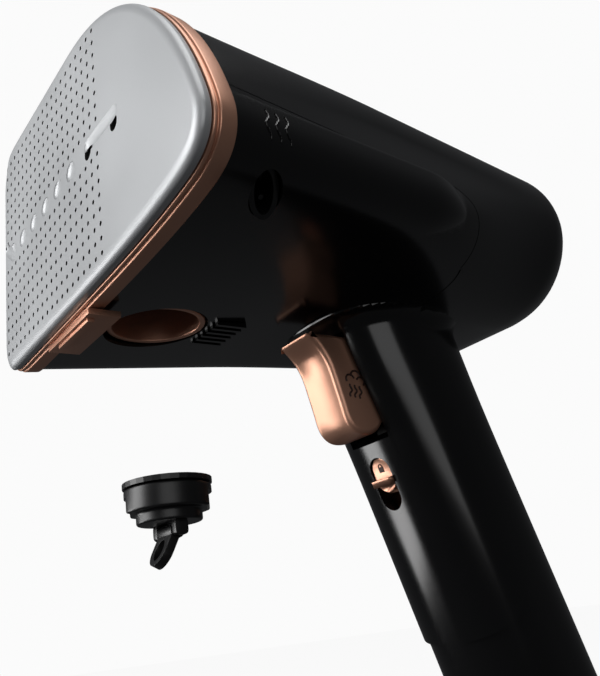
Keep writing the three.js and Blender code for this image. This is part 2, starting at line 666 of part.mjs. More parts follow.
function triggerSpring() {
  const front = TRIGGER_BACK_Y + GAP;
  const length = SWITCH_BACK - front;
  const turns = 4;
  const steps = turns * 12;
  const helix = Array.from({ length: steps + 1 }, (_, i) => {
    const angle = (i / 12) * 2 * Math.PI;
    const y = front + 0.5 + ((length - 1) * i) / steps;
    return v3(2.6 * Math.cos(angle), y, SPRING_Z + 2.6 * Math.sin(angle));
  });
  const wire = new THREE.Shape(new THREE.EllipseCurve(0, 0, 0.45, 0.45).getPoints(5).slice(0, -1));
  const path = new THREE.CatmullRomCurve3(helix);
  return solidOf(new THREE.ExtrudeGeometry(wire, { steps, extrudePath: path }));
}

// ---- Lock slider, in the grip frame ----
const inGrip = (solid) => turned(solid, gripMatrix);
const SLIDER_LENGTH = SLIDER_SLOT_LENGTH - SLIDER_TRAVEL - 0.8;
const sliderTop = -(SLIDER_ALONG - SLIDER_SLOT_LENGTH / 2 + 0.4);
const innerFront = -(GRIP_HALF_DEPTH - WALL); // inside of the handle's front wall
const SLIDER_BACK = 2.4; // back of the slider's guide plate, behind that wall

function lockSlider() {
  const half = SLIDER_SLOT_WIDTH / 2 - 0.4;
  const middle = sliderTop - SLIDER_LENGTH / 2;
  const shape = slotPrism(SLIDER_LENGTH, 2 * half, SLOT_FRONT + 0.7, innerFront + SLIDER_BACK);
  const button = moved(shape, 0, 0, middle + SLIDER_ALONG);
  const back = innerFront + SLIDER_BACK;
  const plate = box(v3(-5.6, back - 1.4, middle - 6), v3(5.6, back, middle + 6));
  const ridgeZ = sliderTop - SLIDER_LENGTH + 3.3;
  const across = half - 0.1;
  const ridge = box(v3(-across, SLOT_FRONT - 1.5, ridgeZ - 1), v3(across, SLOT_FRONT + 1.5, ridgeZ + 1));
  return inGrip(button.add(plate).add(ridge));
}

function sliderTray() {
  const low = innerFront + SLIDER_BACK + GAP;
  return inGrip(box(v3(-7, low, -SLIDER_ALONG - 13), v3(7, low + 1.6, -SLIDER_ALONG + 9)));
}

// ---- Inside the handle ----
const PUMP_FROM = 96;
const PUMP_TO = 128;

function waterPump() {
  const head = cylinder(7, -PUMP_FROM - 6, -PUMP_FROM - 2, 24);
  const body = cylinder(11, -PUMP_TO, -PUMP_FROM - 6, 28).add(head);
  const nipple = cylinder(1.5, -PUMP_FROM - 3, -PUMP_FROM, 16);
  return inGrip(body.add(moved(nipple, -4.2, 0, 0)).add(moved(nipple, 4.2, 0, 0)));
}

const inGripAt = (x, y, along) => v3(x, y, -along).applyMatrix4(gripMatrix);

function suctionTube() {
  const points = [v3(-7, 107.5, TANK_FLOOR - GAP), v3(-7, 108, -18), inGripAt(-7, 1, 24)];
  points.push(inGripAt(-6, 0.5, 60), inGripAt(-4.2, 0, PUMP_FROM - GAP));
  return tube(points, 2.4, 26);
}

function deliveryTube() {
  const points = [inGripAt(4.2, 0, PUMP_FROM - GAP), inGripAt(6, 0.5, 60), inGripAt(8, 1, 24)];
  points.push(v3(12, 104, -19), v3(20, 80, -14), v3(28, 50, -14));
  points.push(v3(DELIVERY_END.x, 27, DELIVERY_END.z - 1), DELIVERY_END);
  return tube(points, 2.4, 36);
}

function controlBoard() {
  const board = box(v3(-11, 9.5, -86), v3(11, 11.1, -30));
  const parts = [
    box(v3(-8, 5.9, -50), v3(-1, 9.7, -40)),
    box(v3(1, 6.5, -74), v3(8, 9.7, -62)),
    moved(cylinder(3, 5.6, 9.7, 16).rotate([-90, 0, 0]), 5, 0, -52),
  ];
  return inGrip(board.add(joined(parts)));
}

// ---- Water tank and filler ----
const TANK_FLOOR = -5;
const TANK_FROM = 46;
const TANK_TO = 148;
const TANK_WALL = 1.8;
const NECK_RADIUS = 9;
const NECK_BORE = 7.3;
const flapUnder = FILLER_Z - FLAP_THICK;
const FLAP_HINGE_Y = FILLER_Y + 13.4;
const FLAP_HINGE_Z = FILLER_Z + 1.7;

function waterTank() {
  const shell = (margin, grow) => {
    const room = rearBody(WALL + 4.1 + margin, TANK_FROM + margin, TANK_TO - margin, 20);
    return room.intersect(box(v3(-90, 0, TANK_FLOOR + margin), v3(90, 200, 90))).add(grow);
  };
  const neck = (radius, low, high) => moved(cylinder(radius, low, high), FILLER_X, FILLER_Y, 0);
  const outer = shell(0, neck(NECK_RADIUS, FILLER_Z - 12, flapUnder - GAP));
  return outer.subtract(shell(TANK_WALL, neck(NECK_BORE, FILLER_Z - 14, FILLER_Z + 2)));
}

function neckSeal() {
  const top = flapUnder - 0.6;
  const profile = [
    [NECK_RADIUS + GAP, top - 1.6],
    [FILLER_RADIUS - GAP, top - 1.6],
    [FILLER_RADIUS - GAP, top],
    [NECK_RADIUS + GAP, top],
    [NECK_RADIUS + GAP, top - 1.6],
  ];
  return moved(lathe(profile, 32), FILLER_X, FILLER_Y, 0);
}

const FLAP_PIN_RADIUS = 1.1;
const flapBore = () => xCylinder(FLAP_PIN_RADIUS + GAP, -10, 10, FLAP_HINGE_Y, FLAP_HINGE_Z);

function fillerFlap() {
  const disc = moved(cylinder(FILLER_RADIUS - 0.4, flapUnder, FILLER_Z), FILLER_X, FILLER_Y, 0);
  const plug = moved(cylinder(NECK_BORE - 1, flapUnder - 3, flapUnder + 0.2), FILLER_X, FILLER_Y, 0);
  const arm = box(v3(-3.6, FILLER_Y + 4, FILLER_Z - 0.6), v3(3.6, FLAP_HINGE_Y, FILLER_Z + 2.6));
  const knuckle = xCylinder(1.9, -3.6, 3.6, FLAP_HINGE_Y, FLAP_HINGE_Z);
  return joined([disc, plug, arm, knuckle]).subtract(flapBore());
}

// Two ears on the rear housing carry the flap's pin.
function flapEars() {
  const low = FILLER_Z - 4;
  const ear = box(v3(4, FLAP_HINGE_Y - 2, low), v3(6.4, FLAP_HINGE_Y + 2, FLAP_HINGE_Z + 2));
  return ear.add(moved(ear, -10.4, 0, 0)).subtract(flapBore());
}

// ---- Foot ----
function handleFoot() {
  const slab = (margin, low, high) => loft([low, high].map((along) => gripRing(along, margin)));
  const flange = slab(0, GRIP_LENGTH - FOOT_THICK, GRIP_LENGTH);
  const spigot = slab(-WALL - GAP, GRIP_LENGTH - 10, GRIP_LENGTH - 1);
  const inside = slab(-WALL - GAP - 2.2, GRIP_LENGTH - 12, GRIP_LENGTH - FOOT_THICK);
  const glandHole = cylinder(GLAND_RADIUS + GAP, -GRIP_LENGTH - 2, -GRIP_LENGTH + 20, 28);
  const holes = [glandHole.translate([0, GLAND_Y, 0])];
  for (const x of [-12, 12]) {
    holes.push(cylinder(1.7, -GRIP_LENGTH - 2, -GRIP_LENGTH + 20, 16).translate([x, 0, 0]));
    holes.push(cylinder(3.1, -GRIP_LENGTH - 2, -GRIP_LENGTH + 1.6, 20).translate([x, 0, 0]));
  }
  return inGrip(flange.add(spigot.subtract(inside)).subtract(joined(holes)));
}

function cordGland() {
  const sleeve = cylinder(GLAND_RADIUS, -GRIP_LENGTH, -GRIP_LENGTH + 9, 28);
  const inside = -GRIP_LENGTH + FOOT_THICK;
  const collar = cylinder(GLAND_RADIUS + 1.6, inside + GAP, inside + 2, 28);
  const bore = cylinder(GLAND_BORE, -GRIP_LENGTH - 1, -GRIP_LENGTH + 12, 24);
  return inGrip(sleeve.add(collar).subtract(bore).translate([0, GLAND_Y, 0]));
}

function footScrew(x) {
  const head = cylinder(2.7, -GRIP_LENGTH + 0.1, -GRIP_LENGTH + 1.3, 20);
  const shank = cylinder(1.4, -GRIP_LENGTH + 0.8, -GRIP_LENGTH + 16, 16);
  const cross = box(v3(-1.6, -0.3, -GRIP_LENGTH - 1), v3(1.6, 0.3, -GRIP_LENGTH + 0.7));
  return inGrip(head.add(shank).subtract(cross).subtract(cross.rotate([0, 0, 90])).translate([x, 0, 0]));
}

// Socket cup behind the oval opening, with a sloping peg inside it.
function catchCup() {
  const cup = ovalPrism(-GAP, -9, -0.6).subtract(ovalPrism(-1.5, -7.6, 2));
  const peg = turned(solidOf(new THREE.CylinderGeometry(0.6, 2, 5.6, 16).rotateX(Math.PI / 2)), catchMatrix);
  const offset = v3(-2.2, 0, -5.2).applyMatrix4(new THREE.Matrix4().extractRotation(catchMatrix));
  return cup.add(moved(peg, ...offset.toArray()));
}

// ---- Assembly ----
const steamer = new THREE.Group();
const head = new THREE.Group();
steamer.add(head);
const foot = inGripAt(0, 0, GRIP_LENGTH);
head.position.copy(foot).negate();

function place(name, solid, material) {
  const mesh = new THREE.Mesh(geometryOf(solid), material);
  mesh.name = name;
  head.add(mesh);
}

place("steam_plate", steamPlate(), paleAluminium());
place("trim_ring", trimRing(), roseGold());
place("plate_gasket", plateGasket(), silicone());
place("steam_chamber", steamChamber(), castAluminium());
place("heating_element", heatingElement(), steel());
place("thermostat", yCylinder(8, CHAMBER_BACK + GAP, CHAMBER_BACK + 7, 14, 4), satinBlack());
place("thermal_fuse", xCylinder(2.4, -26, -13, CHAMBER_BACK + GAP + 2.4, 4), paleAluminium());
place("heat_shield", heatShield(), satinBlack());
place("front_housing", frontHousing(), glossBlack());
place("rear_housing", rearHousing().add(flapEars()), glossBlack());
place("catch_cup", catchCup(), satinBlack());
place("descale_collar", descaleCollar(), roseGold());
place("drain_elbow", drainElbow(), satinBlack());
place("descale_cap", descaleCap(), satinBlack());
place("cap_seal", capSeal(), silicone());
place("cap_ring", capRing(), satinBlack());
place("cap_ring_pin", atCap(xCylinder(0.9, -6.2, 6.2, 0, -RING_AXIS_DROP, 16)), steel());
place("trigger", trigger(), roseGold());
place("trigger_bracket", triggerBracket(), satinBlack());
place("trigger_pin", xCylinder(PIN_RADIUS, -CHEEK_IN - 1.4, CHEEK_IN + 1.4, PIVOT.x, PIVOT.y), steel());
place("trigger_spring", triggerSpring(), steel());
place("microswitch", box(v3(-3.2, SWITCH_FRONT, -62), v3(3.2, SWITCH_BACK, -54)), satinBlack());
place("lock_slider", lockSlider(), roseGold());
place("slider_tray", sliderTray(), satinBlack());
place("water_tank", waterTank(), smokedTank());
place("neck_seal", neckSeal(), silicone());
place("filler_flap", fillerFlap(), satinBlack());
place("filler_pin", xCylinder(FLAP_PIN_RADIUS, -6.2, 6.2, FLAP_HINGE_Y, FLAP_HINGE_Z, 16), steel());
place("water_pump", waterPump(), satinBlack());
place("suction_tube", suctionTube(), silicone());
place("delivery_tube", deliveryTube(), silicone());
place("control_board", controlBoard(), greenBoard());
place("handle_foot", handleFoot(), satinBlack());
place("cord_gland", cordGland(), satinBlack());
place("foot_screw_left", footScrew(-12), steel());
place("foot_screw_right", footScrew(12), steel());

export default steamer;
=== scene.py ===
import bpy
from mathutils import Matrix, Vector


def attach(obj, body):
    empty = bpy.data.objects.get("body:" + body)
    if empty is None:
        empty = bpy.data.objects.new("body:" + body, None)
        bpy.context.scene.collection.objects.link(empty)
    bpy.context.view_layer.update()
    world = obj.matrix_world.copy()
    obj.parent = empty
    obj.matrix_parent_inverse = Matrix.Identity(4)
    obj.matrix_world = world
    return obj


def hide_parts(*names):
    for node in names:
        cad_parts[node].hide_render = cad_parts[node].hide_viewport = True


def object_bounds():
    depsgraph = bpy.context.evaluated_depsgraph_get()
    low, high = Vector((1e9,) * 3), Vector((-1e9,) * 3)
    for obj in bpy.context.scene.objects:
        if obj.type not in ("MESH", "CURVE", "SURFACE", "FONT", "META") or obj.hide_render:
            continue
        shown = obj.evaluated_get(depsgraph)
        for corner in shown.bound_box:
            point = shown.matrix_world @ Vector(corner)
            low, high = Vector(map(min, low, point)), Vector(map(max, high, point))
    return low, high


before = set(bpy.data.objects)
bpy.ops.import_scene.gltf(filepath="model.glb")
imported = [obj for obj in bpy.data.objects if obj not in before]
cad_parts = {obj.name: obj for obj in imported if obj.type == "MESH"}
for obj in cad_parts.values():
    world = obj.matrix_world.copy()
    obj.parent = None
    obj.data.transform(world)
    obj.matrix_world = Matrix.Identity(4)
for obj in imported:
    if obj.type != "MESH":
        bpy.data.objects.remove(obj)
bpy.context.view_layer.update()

"""Looks of the handheld garment steamer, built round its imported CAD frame.

Shapes are worked out in millimetres in the head frame: its origin is on the steam face in the handle's
plane, +Y runs back along the barrel and +X towards the nose. in_place() carries them to the part's frame.
"""

import math

import bpy
import numpy as np
from mathutils import Matrix, Vector

# ---- Sizes in millimetres, those of the CAD part ----
GAP = 0.3
WALL = 2.6
HEEL_X = -48.2
NOSE_X = 73.4
NOSE_Z = -19.0
TOP_Z = 35.6
BOTTOM_Z = -34.4
SHOULDER_X = 10.0
APEX_Y = 511.0
APEX_Z = -3.0
PLATE_DEPTH = 3.0
RING_DEPTH = 5.6
RING_PROUD = 0.8
RING_WALL = 3.2
TAB_FROM_X, TAB_TO_X = -21.0, 7.0
TAB_DEPTH = 4.0
TAB_DROP = 1.1
BARREL_END_Y = 162.0
BARREL_ROUND = 24.6
BARREL_ROUND_POWER = 1.95
BARREL_END_MIDDLE = (-4.0, -16.0)
LOBE_END_Y = 90.0
LOBE_ROUND = 20.0
LOBE_INSET = 11.0
REAR_NOSE_X = 64.3
REAR_NOSE_Z = -6.1
REAR_BOTTOM_Z = -38.3
REAR_NOSE_BY = 70.0
REAR_SAG_FROM, REAR_SAG_TO = 60.0, 135.0
CREASE_Z = -12.0
LEAN = math.radians(18)
GRIP_TOP_Y = 101.2
GRIP_TOP_Z = -30.0
GRIP_LENGTH = 163.0
GRIP_HALF_WIDTH = 19.5
GRIP_HALF_DEPTH = 19.3
GRIP_FLARE = 1.5
SLEEVE_PROUD = 1.1
SLEEVE_END = 96.0
FILLET_SUNK = 0.9
PORT_X, PORT_Y = -6.5, 28.5
PORT_BORE = 11.6
PORT_MOUTH = 13.9
COLLAR_WALL = 1.6
COLLAR_HEIGHT = 16.5
COLLAR_RIM = 1.4
COLLAR_LOW = 1.2
CAP_CLEAR = 0.7
RECESS_DEPTH = 2.4
RECESS_RIBS = 6
CAP_BAND = 6.0
CAP_DISC = 2.8
CAP_DISC_RADIUS = 8.2
CAP_DROP = 50.5
CAP_RING_TILT = 28.0
TRIGGER_HALF_WIDTH = 7.5
TRIGGER_CLEAR = 0.8
TRIGGER_SWING = 7.0
PIVOT = (94.0, -38.0)
SLIDER_ALONG = 41.5
SLOT_LENGTH, SLOT_WIDTH = 16.0, 8.2
SLIDER_TRAVEL = 5.0
SLIDER_BACK = 2.4
FOOT_THICK = 3.0
GLAND_Y = 7.0
GLAND_RADIUS = 4.8
GLAND_BORE = 3.2
FILLER_Y = 118.0
FILLER_RADIUS = 11.0
FLAP_THICK = 2.2
CATCH_CENTRE = np.array([60.4, 21.5, -28.4])
CATCH_DEPTH = np.array([0.52, -0.03, -0.85])
CATCH_LONG = np.array([0.767, -0.416, 0.482])
HOLE_PITCH = 3.6
HOLE_RADIUS = 0.6
HOLES_FROM_X = 27.0
HOLE_COLUMNS, HOLE_ROWS = 21, 8
FIRST_ROW = 1.29
OUTLETS = ((36.7, -2.5), (21.5, -1.2))
OUTLET_RADIUS = 1.9
DIMPLE_FROM_X, DIMPLE_PITCH, DIMPLES = 10.2, 9.4, 6
DIMPLE_SHAPE = (2.9, 0.7, 2.5)
CHANNELS = (("nose_channel", (39.0, 0.0), (19.5, 0.6)), ("heel_channel", (-34.5, -2.5), (-45.0, 5.0)))
HOUSING_START = PLATE_DEPTH + RING_DEPTH + GAP
FOOT = np.array([0.0, GRIP_TOP_Y + GRIP_LENGTH * math.sin(LEAN), GRIP_TOP_Z - GRIP_LENGTH * math.cos(LEAN)])


# ---- Meshes ----
def in_place(points):
    """Head-frame millimetres to the part's frame in metres: the foot's centre becomes the origin."""
    return (np.asarray(points, float) - FOOT) / 1000.0


def mesh_piece(name, points, faces):
    """An object of those points (head frame, mm) and faces, turned inside out if its volume is negative."""
    points = in_place(points)
    fans = np.array([(f[0], f[i], f[i + 1]) for f in faces for i in range(1, len(f) - 1)])
    corner = points[fans]
    middle = points.mean(0)
    a, b, c = (corner[:, k] - middle for k in range(3))
    volume = np.einsum("ij,ij->i", a, np.cross(b, c)).sum()
    if volume < 0:
        faces = [tuple(reversed(f)) for f in faces]
    mesh = bpy.data.meshes.new(name)
    mesh.from_pydata(points.tolist(), [], [tuple(int(i) for i in f) for f in faces])
    mesh.update()
    made = bpy.data.objects.new(name, mesh)
    bpy.context.scene.collection.objects.link(made)
    return made


def loft(name, rings, ring_closed=False):
    """A skin through rings (ring, point, xyz): the last ring joins the first, or flat faces close both ends."""
    rings = np.asarray(rings, float)
    count, around = rings.shape[:2]
    spans = count if ring_closed else count - 1
    a = (np.arange(spans)[:, None] * around + np.arange(around)[None, :]).ravel()
    b = (np.arange(spans)[:, None] * around + (np.arange(around)[None, :] + 1) % around).ravel()
    total = count * around
    c, d = (b + around) % total, (a + around) % total
    faces = [tuple(q) for q in np.stack([a, b, c, d], 1).tolist()]
    if not ring_closed:
        faces.append(tuple(range(around - 1, -1, -1)))
        faces.append(tuple(range((count - 1) * around, count * around)))
    return mesh_piece(name, rings.reshape(-1, 3), faces)


def combine(body, tools, operation):
    """The body after a Boolean of that kind with each tool in turn. The tools are used up."""
    for tool in tools:
        step = body.modifiers.new("combine", "BOOLEAN")
        step.operation = operation
        step.object = tool
        step.solver = "MANIFOLD"
        depsgraph = bpy.context.evaluated_depsgraph_get()
        result = bpy.data.meshes.new_from_object(body.evaluated_get(depsgraph))
        body.modifiers.clear()
        body.data = result
        bpy.data.objects.remove(tool)
    return body


def show(piece, body, material, nodes=(), sharp=32.0, bevel=0.0):
    """Gives a piece its finish, its smooth shading with sharp edges kept, its soft edges and its body."""
    piece.data.materials.clear()
    piece.data.materials.append(material)
    piece.data.polygons.foreach_set("material_index", np.zeros(len(piece.data.polygons), np.int32))
    piece.data.shade_smooth()
    if bevel:
        soften = piece.modifiers.new("soft_edges", "BEVEL")
        soften.width = bevel / 1000
        soften.segments = 3
        soften.limit_method = "ANGLE"
        soften.angle_limit = math.radians(sharp)
        soften.harden_normals = False
    else:
        piece.data.set_sharp_from_angle(angle=math.radians(sharp))
    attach(piece, body)
    if nodes:
        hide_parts(*nodes)
    return piece


# ---- Curves ----
def bezier(points, steps):
    """A Bezier curve, its last point left out: neighbours are mixed by t until one point is left."""
    t = np.linspace(0, 1, steps, endpoint=False)[:, None]
    layer = [np.asarray(p, float) + 0 * t for p in points]
    while len(layer) > 1:
        layer = [a * (1 - t) + b * t for a, b in zip(layer, layer[1:])]
    return layer[0]


def even(points, count, closed=True):
    """The same line with its points evenly spaced along its first two columns."""
    line = np.vstack([points, points[:1]]) if closed else np.asarray(points, float)
    run = np.concatenate([[0], np.cumsum(np.linalg.norm(np.diff(line[:, :2], axis=0), axis=1))])
    at = np.linspace(0, run[-1], count, endpoint=not closed)
    return np.stack([np.interp(at, run, line[:, k]) for k in range(line.shape[1])], 1)


def smooth_closed(points, passes):
    """A closed line, each point moved to the weighted mean of itself and its neighbours, several times."""
    for _ in range(passes):
        points = points * 0.5 + (np.roll(points, 1, 0) + np.roll(points, -1, 0)) * 0.25
    return points


def inset(points, distance):
    """Each point of a closed line (..., point, 2) moved inwards along its normal by a distance, or one per point."""
    along = np.roll(points, -1, -2) - np.roll(points, 1, -2)
    along /= np.linalg.norm(along, axis=-1, keepdims=True)
    x, z = points[..., 0], points[..., 1]
    area = (x * np.roll(z, -1, -1) - np.roll(x, -1, -1) * z).sum(-1)
    turn = np.sign(area)[..., None, None]
    inward = np.stack([-along[..., 1], along[..., 0]], -1) * turn
    return points + inward * np.broadcast_to(np.asarray(distance, float), points.shape[:-1])[..., None]


def circle(radius, sides):
    """Points (sides, 2) round a circle."""
    angle = np.arange(sides) / sides * 2 * np.pi
    return np.stack([np.cos(angle), np.sin(angle)], 1) * radius


def smoothstep(value, low, high):
    t = np.clip((value - low) / (high - low), 0, 1)
    return t * t * (3 - 2 * t)


# ---- Simple solids, in the head frame unless a placing function is given ----
def cylinder(name, radius, low, high, sides=64, place=None):
    """A cylinder along z from low to high, as two rings."""
    ring = circle(radius, sides)
    rings = np.stack([np.column_stack([ring, np.full(sides, z)]) for z in (low, high)])
    return loft(name, rings if place is None else place(rings))


def block(name, low, high, place=None):
    """A box between two corners."""
    (x0, y0, z0), (x1, y1, z1) = low, high
    ring = np.array([[x0, y0], [x1, y0], [x1, y1], [x0, y1]])
    rings = np.stack([np.column_stack([ring, np.full(4, z)]) for z in (z0, z1)])
    return loft(name, rings if place is None else place(rings))


def turned_profile(name, profile, sides=96, place=None):
    """A closed profile of (radius, z) carried round the z axis; every radius is above zero."""
    angle = np.arange(sides) / sides * 2 * np.pi
    profile = np.asarray(profile, float)
    rings = np.stack(
        [
            np.cos(angle)[:, None] * profile[None, :, 0],
            np.sin(angle)[:, None] * profile[None, :, 0],
            np.broadcast_to(profile[None, :, 1], (sides, len(profile))),
        ],
        -1,
    )
    return loft(name, rings if place is None else place(rings), ring_closed=True)


def prism_across(name, outline, half):
    """An outline in (y, z) carried from x = -half to x = half."""
    rings = [np.column_stack([np.full(len(outline), x), outline]) for x in (-half, half)]
    return loft(name, rings)


def round_profile(points, radius, steps=5):
    """A closed polygon with each corner replaced by a small Bezier bend that starts a radius away from it."""
    points = np.asarray(points, float)
    out = []
    for i, p in enumerate(points):
        before, after = points[i - 1] - p, points[(i + 1) % len(points)] - p
        r = min(radius, np.linalg.norm(before) * 0.45, np.linalg.norm(after) * 0.45)
        start = p + before / np.linalg.norm(before) * r
        end = p + after / np.linalg.norm(after) * r
        out.append(bezier([start, p, end], steps))
        out.append(end[None])
    return np.vstack(out)


def tube(name, path, radius, sides=10):
    """A round tube of a radius (or one per point) along a path, its ends closed."""
    path = np.asarray(path, float)
    radius = np.broadcast_to(np.asarray(radius, float), (len(path),))
    along = np.gradient(path, axis=0)
    along /= np.linalg.norm(along, axis=1, keepdims=True)
    least = np.eye(3)[np.abs(along).mean(0).argmin()]
    side = np.cross(along, least)
    side /= np.linalg.norm(side, axis=1, keepdims=True)
    other = np.cross(along, side)
    ring = circle(1, sides)
    rings = path[:, None] + radius[:, None, None] * (
        ring[None, :, :1] * side[:, None] + ring[None, :, 1:] * other[:, None]
    )
    return loft(name, rings)


# ---- The head's tapering sections ----
def two_outlines(count=420):
    """Two outlines in (x, z), point for point: the plate's iron shape with its flat heel and long nose, and
    the rounder shape that the rear body turns into. Both are made of the same eight curves, then smoothed."""
    top = [(HEEL_X, TOP_Z - 12), (HEEL_X, TOP_Z), (HEEL_X + 14, TOP_Z)]
    nose = (NOSE_X, NOSE_Z)
    toe = (NOSE_X - 13, BOTTOM_Z + 3.8)
    iron = [
        bezier(top, 30),
        bezier([top[2], (SHOULDER_X, TOP_Z)], 30),
        bezier([(SHOULDER_X, TOP_Z), (SHOULDER_X + 30, TOP_Z), (NOSE_X - 9.4, NOSE_Z + 33), nose], 90),
        bezier([nose, (NOSE_X + 1.2, NOSE_Z - 8), (NOSE_X - 4, BOTTOM_Z + 5), toe], 60),
        bezier([toe, (NOSE_X - 28, BOTTOM_Z + 1.8), (NOSE_X - 45, BOTTOM_Z + 1.2), (8, BOTTOM_Z + 0.8)], 60),
        bezier([(8, BOTTOM_Z + 0.8), (HEEL_X + 8, BOTTOM_Z)], 40),
        bezier([(HEEL_X + 8, BOTTOM_Z), (HEEL_X, BOTTOM_Z), (HEEL_X, BOTTOM_Z + 8)], 30),
        bezier([(HEEL_X, BOTTOM_Z + 8), (HEEL_X, TOP_Z - 12)], 40),
    ]
    nose, low = (REAR_NOSE_X, REAR_NOSE_Z), REAR_BOTTOM_Z
    rounder = [
        bezier(top, 30),
        bezier([top[2], (SHOULDER_X, TOP_Z)], 30),
        bezier([(SHOULDER_X, TOP_Z), (SHOULDER_X + 24.7, TOP_Z), (nose[0], nose[1] + 26.5), nose], 90),
        bezier([nose, (nose[0], nose[1] - 14.4), (51, low), (22.8, low)], 60),
        bezier([(22.8, low), (8, low)], 60),
        bezier([(8, low), (HEEL_X + 14, low)], 40),
        bezier([(HEEL_X + 14, low), (HEEL_X, low), (HEEL_X, low + 14)], 30),
        bezier([(HEEL_X, low + 14), (HEEL_X, TOP_Z - 12)], 40),
    ]
    pair = smooth_closed(even(np.hstack([np.vstack(iron), np.vstack(rounder)]), count), 14)
    return pair[:, :2], pair[:, 2:]


OUTLINE, ROUND_OUTLINE = two_outlines()


def taper(outline, y):
    """Outlines (..., point, 2) in (x, z) set at depths y (...): they shrink towards the apex."""
    y = np.asarray(y, float)
    scale = (1 - y / APEX_Y)[..., None]
    depth = np.broadcast_to(y[..., None], outline.shape[:-1])
    return np.stack([outline[..., 0] * scale, depth, APEX_Z + (outline[..., 1] - APEX_Z) * scale], -1)


def on_taper(x, z, y):
    """One outline point at a depth."""
    return taper(np.array([[x, z]], float), np.array(y))[0]


def rear_outline(y):
    """The rear body's outlines at depths y: each point moves from the iron shape to the rounder one by a
    smooth share of the depth, which comes sooner above than below."""
    y = np.asarray(y, float)
    above = smoothstep(y, 0, REAR_NOSE_BY)[:, None]
    below = smoothstep(y, REAR_SAG_FROM, REAR_SAG_TO)[:, None]
    low = smoothstep(-OUTLINE[:, 1], 8, 24)[None]
    share = above + (below - above) * low
    return OUTLINE[None] + (ROUND_OUTLINE - OUTLINE)[None] * share[..., None]


def rear_body(name, margin, start, end, round_depth, straight=40, bend=30):
    """The barrel: tapering sections, then a round end where share = sin^(2/p) and size = cos^(2/p) of one angle."""
    y = np.linspace(start, end - round_depth, straight)
    rings = [taper(inset(rear_outline(y), margin), y)]
    angle = np.linspace(0, 0.985 * np.pi / 2, bend)[1:]
    y = end - round_depth + round_depth * np.sin(angle) ** (2 / BARREL_ROUND_POWER)
    shrink = (np.cos(angle) ** (2 / BARREL_ROUND_POWER))[:, None, None]
    middle = np.array(BARREL_END_MIDDLE)
    rings.append(taper((inset(rear_outline(y), margin) - middle) * shrink + middle, y))
    return loft(name, np.concatenate(rings))


def lobe(name, outline, start, end, straight=20, bend=18):
    """The nose lobe: full sections, then a roll-in: inset = LOBE_INSET (1 - cos), share = sin of one angle."""
    y = np.linspace(start, end - LOBE_ROUND, straight)
    rings = [taper(np.broadcast_to(outline, (len(y), *outline.shape)), y)]
    angle = np.linspace(0, np.pi / 2, bend)[1:]
    y = end - LOBE_ROUND + LOBE_ROUND * np.sin(angle)
    draw = LOBE_INSET * (1 - np.cos(angle))
    rings.append(taper(inset(np.broadcast_to(outline, (len(y), *outline.shape)), draw[:, None]), y))
    return loft(name, np.concatenate(rings))


# ---- The grip: z runs up the handle's own axis, y towards its back ----
def from_grip(points):
    """Grip frame to head frame: a turn about x by the lean, then a move to the grip's top."""
    points = np.asarray(points, float)
    c, s = math.cos(LEAN), math.sin(LEAN)
    x, y, z = points[..., 0], points[..., 1], points[..., 2]
    return np.stack([x, GRIP_TOP_Y + y * c - z * s, GRIP_TOP_Z + y * s + z * c], -1)


def grip_point(y, along):
    return from_grip([0, y, -along])[1:]


def grip_rings(stops, margin, sides=120, fillet=0.0):
    """Superelliptic sections |cos|^0.8, |sin|^0.8 at distances along the axis; near the barrel they flare, and
    a fillet spreads them by r - sqrt(r^2 - (r - drop)^2), where drop is how far a point is below the barrel."""
    angle = np.arange(sides) / sides * 2 * np.pi
    cos, sin = np.cos(angle), np.sin(angle)
    shape = np.stack([np.sign(cos) * np.abs(cos) ** 0.8, np.sign(sin) * np.abs(sin) ** 0.8], 1)
    stops = np.asarray(stops, float)
    flare = GRIP_FLARE * np.exp(-((np.maximum(stops, 0) / 22) ** 2))
    half_width = np.full(len(stops), GRIP_HALF_WIDTH + margin)
    half_depth = GRIP_HALF_DEPTH + margin + flare
    ring = shape[None] * np.stack([half_width, half_depth], 1)[:, None]
    rings = np.concatenate([ring, np.broadcast_to(-stops[:, None, None], (*ring.shape[:2], 1))], -1)
    if fillet:
        placed = from_grip(rings)
        scale = 1 - placed[..., 1] / APEX_Y
        across = placed[..., 0] / scale
        iron = BOTTOM_Z + 0.8 * np.clip((across + 40.2) / 48.2, 0, 1) + 0.4 * np.clip((across - 8) / 37, 0, 1)
        under = iron + (REAR_BOTTOM_Z - iron) * smoothstep(placed[..., 1], REAR_SAG_FROM, REAR_SAG_TO)
        drop = APEX_Z + (under + FILLET_SUNK - APEX_Z) * scale - placed[..., 2]
        near = np.clip(fillet - drop, 0, fillet)
        spread = fillet - np.sqrt(np.maximum(fillet**2 - near**2, 0))
        outward = np.stack([cos, sin], 1)
        rings[..., :2] += outward[None] * spread[..., None]
    return from_grip(rings)


def grip_stops(start, end):
    """Distances along the axis, close together where the fillet bends."""
    return np.concatenate([np.linspace(start, 22, 60, endpoint=False), np.linspace(22, end, 40)])


# ---- The line that parts the two housings, seen from the side ----
def crease_at(y):
    return on_taper(0, CREASE_Z, y)[2]


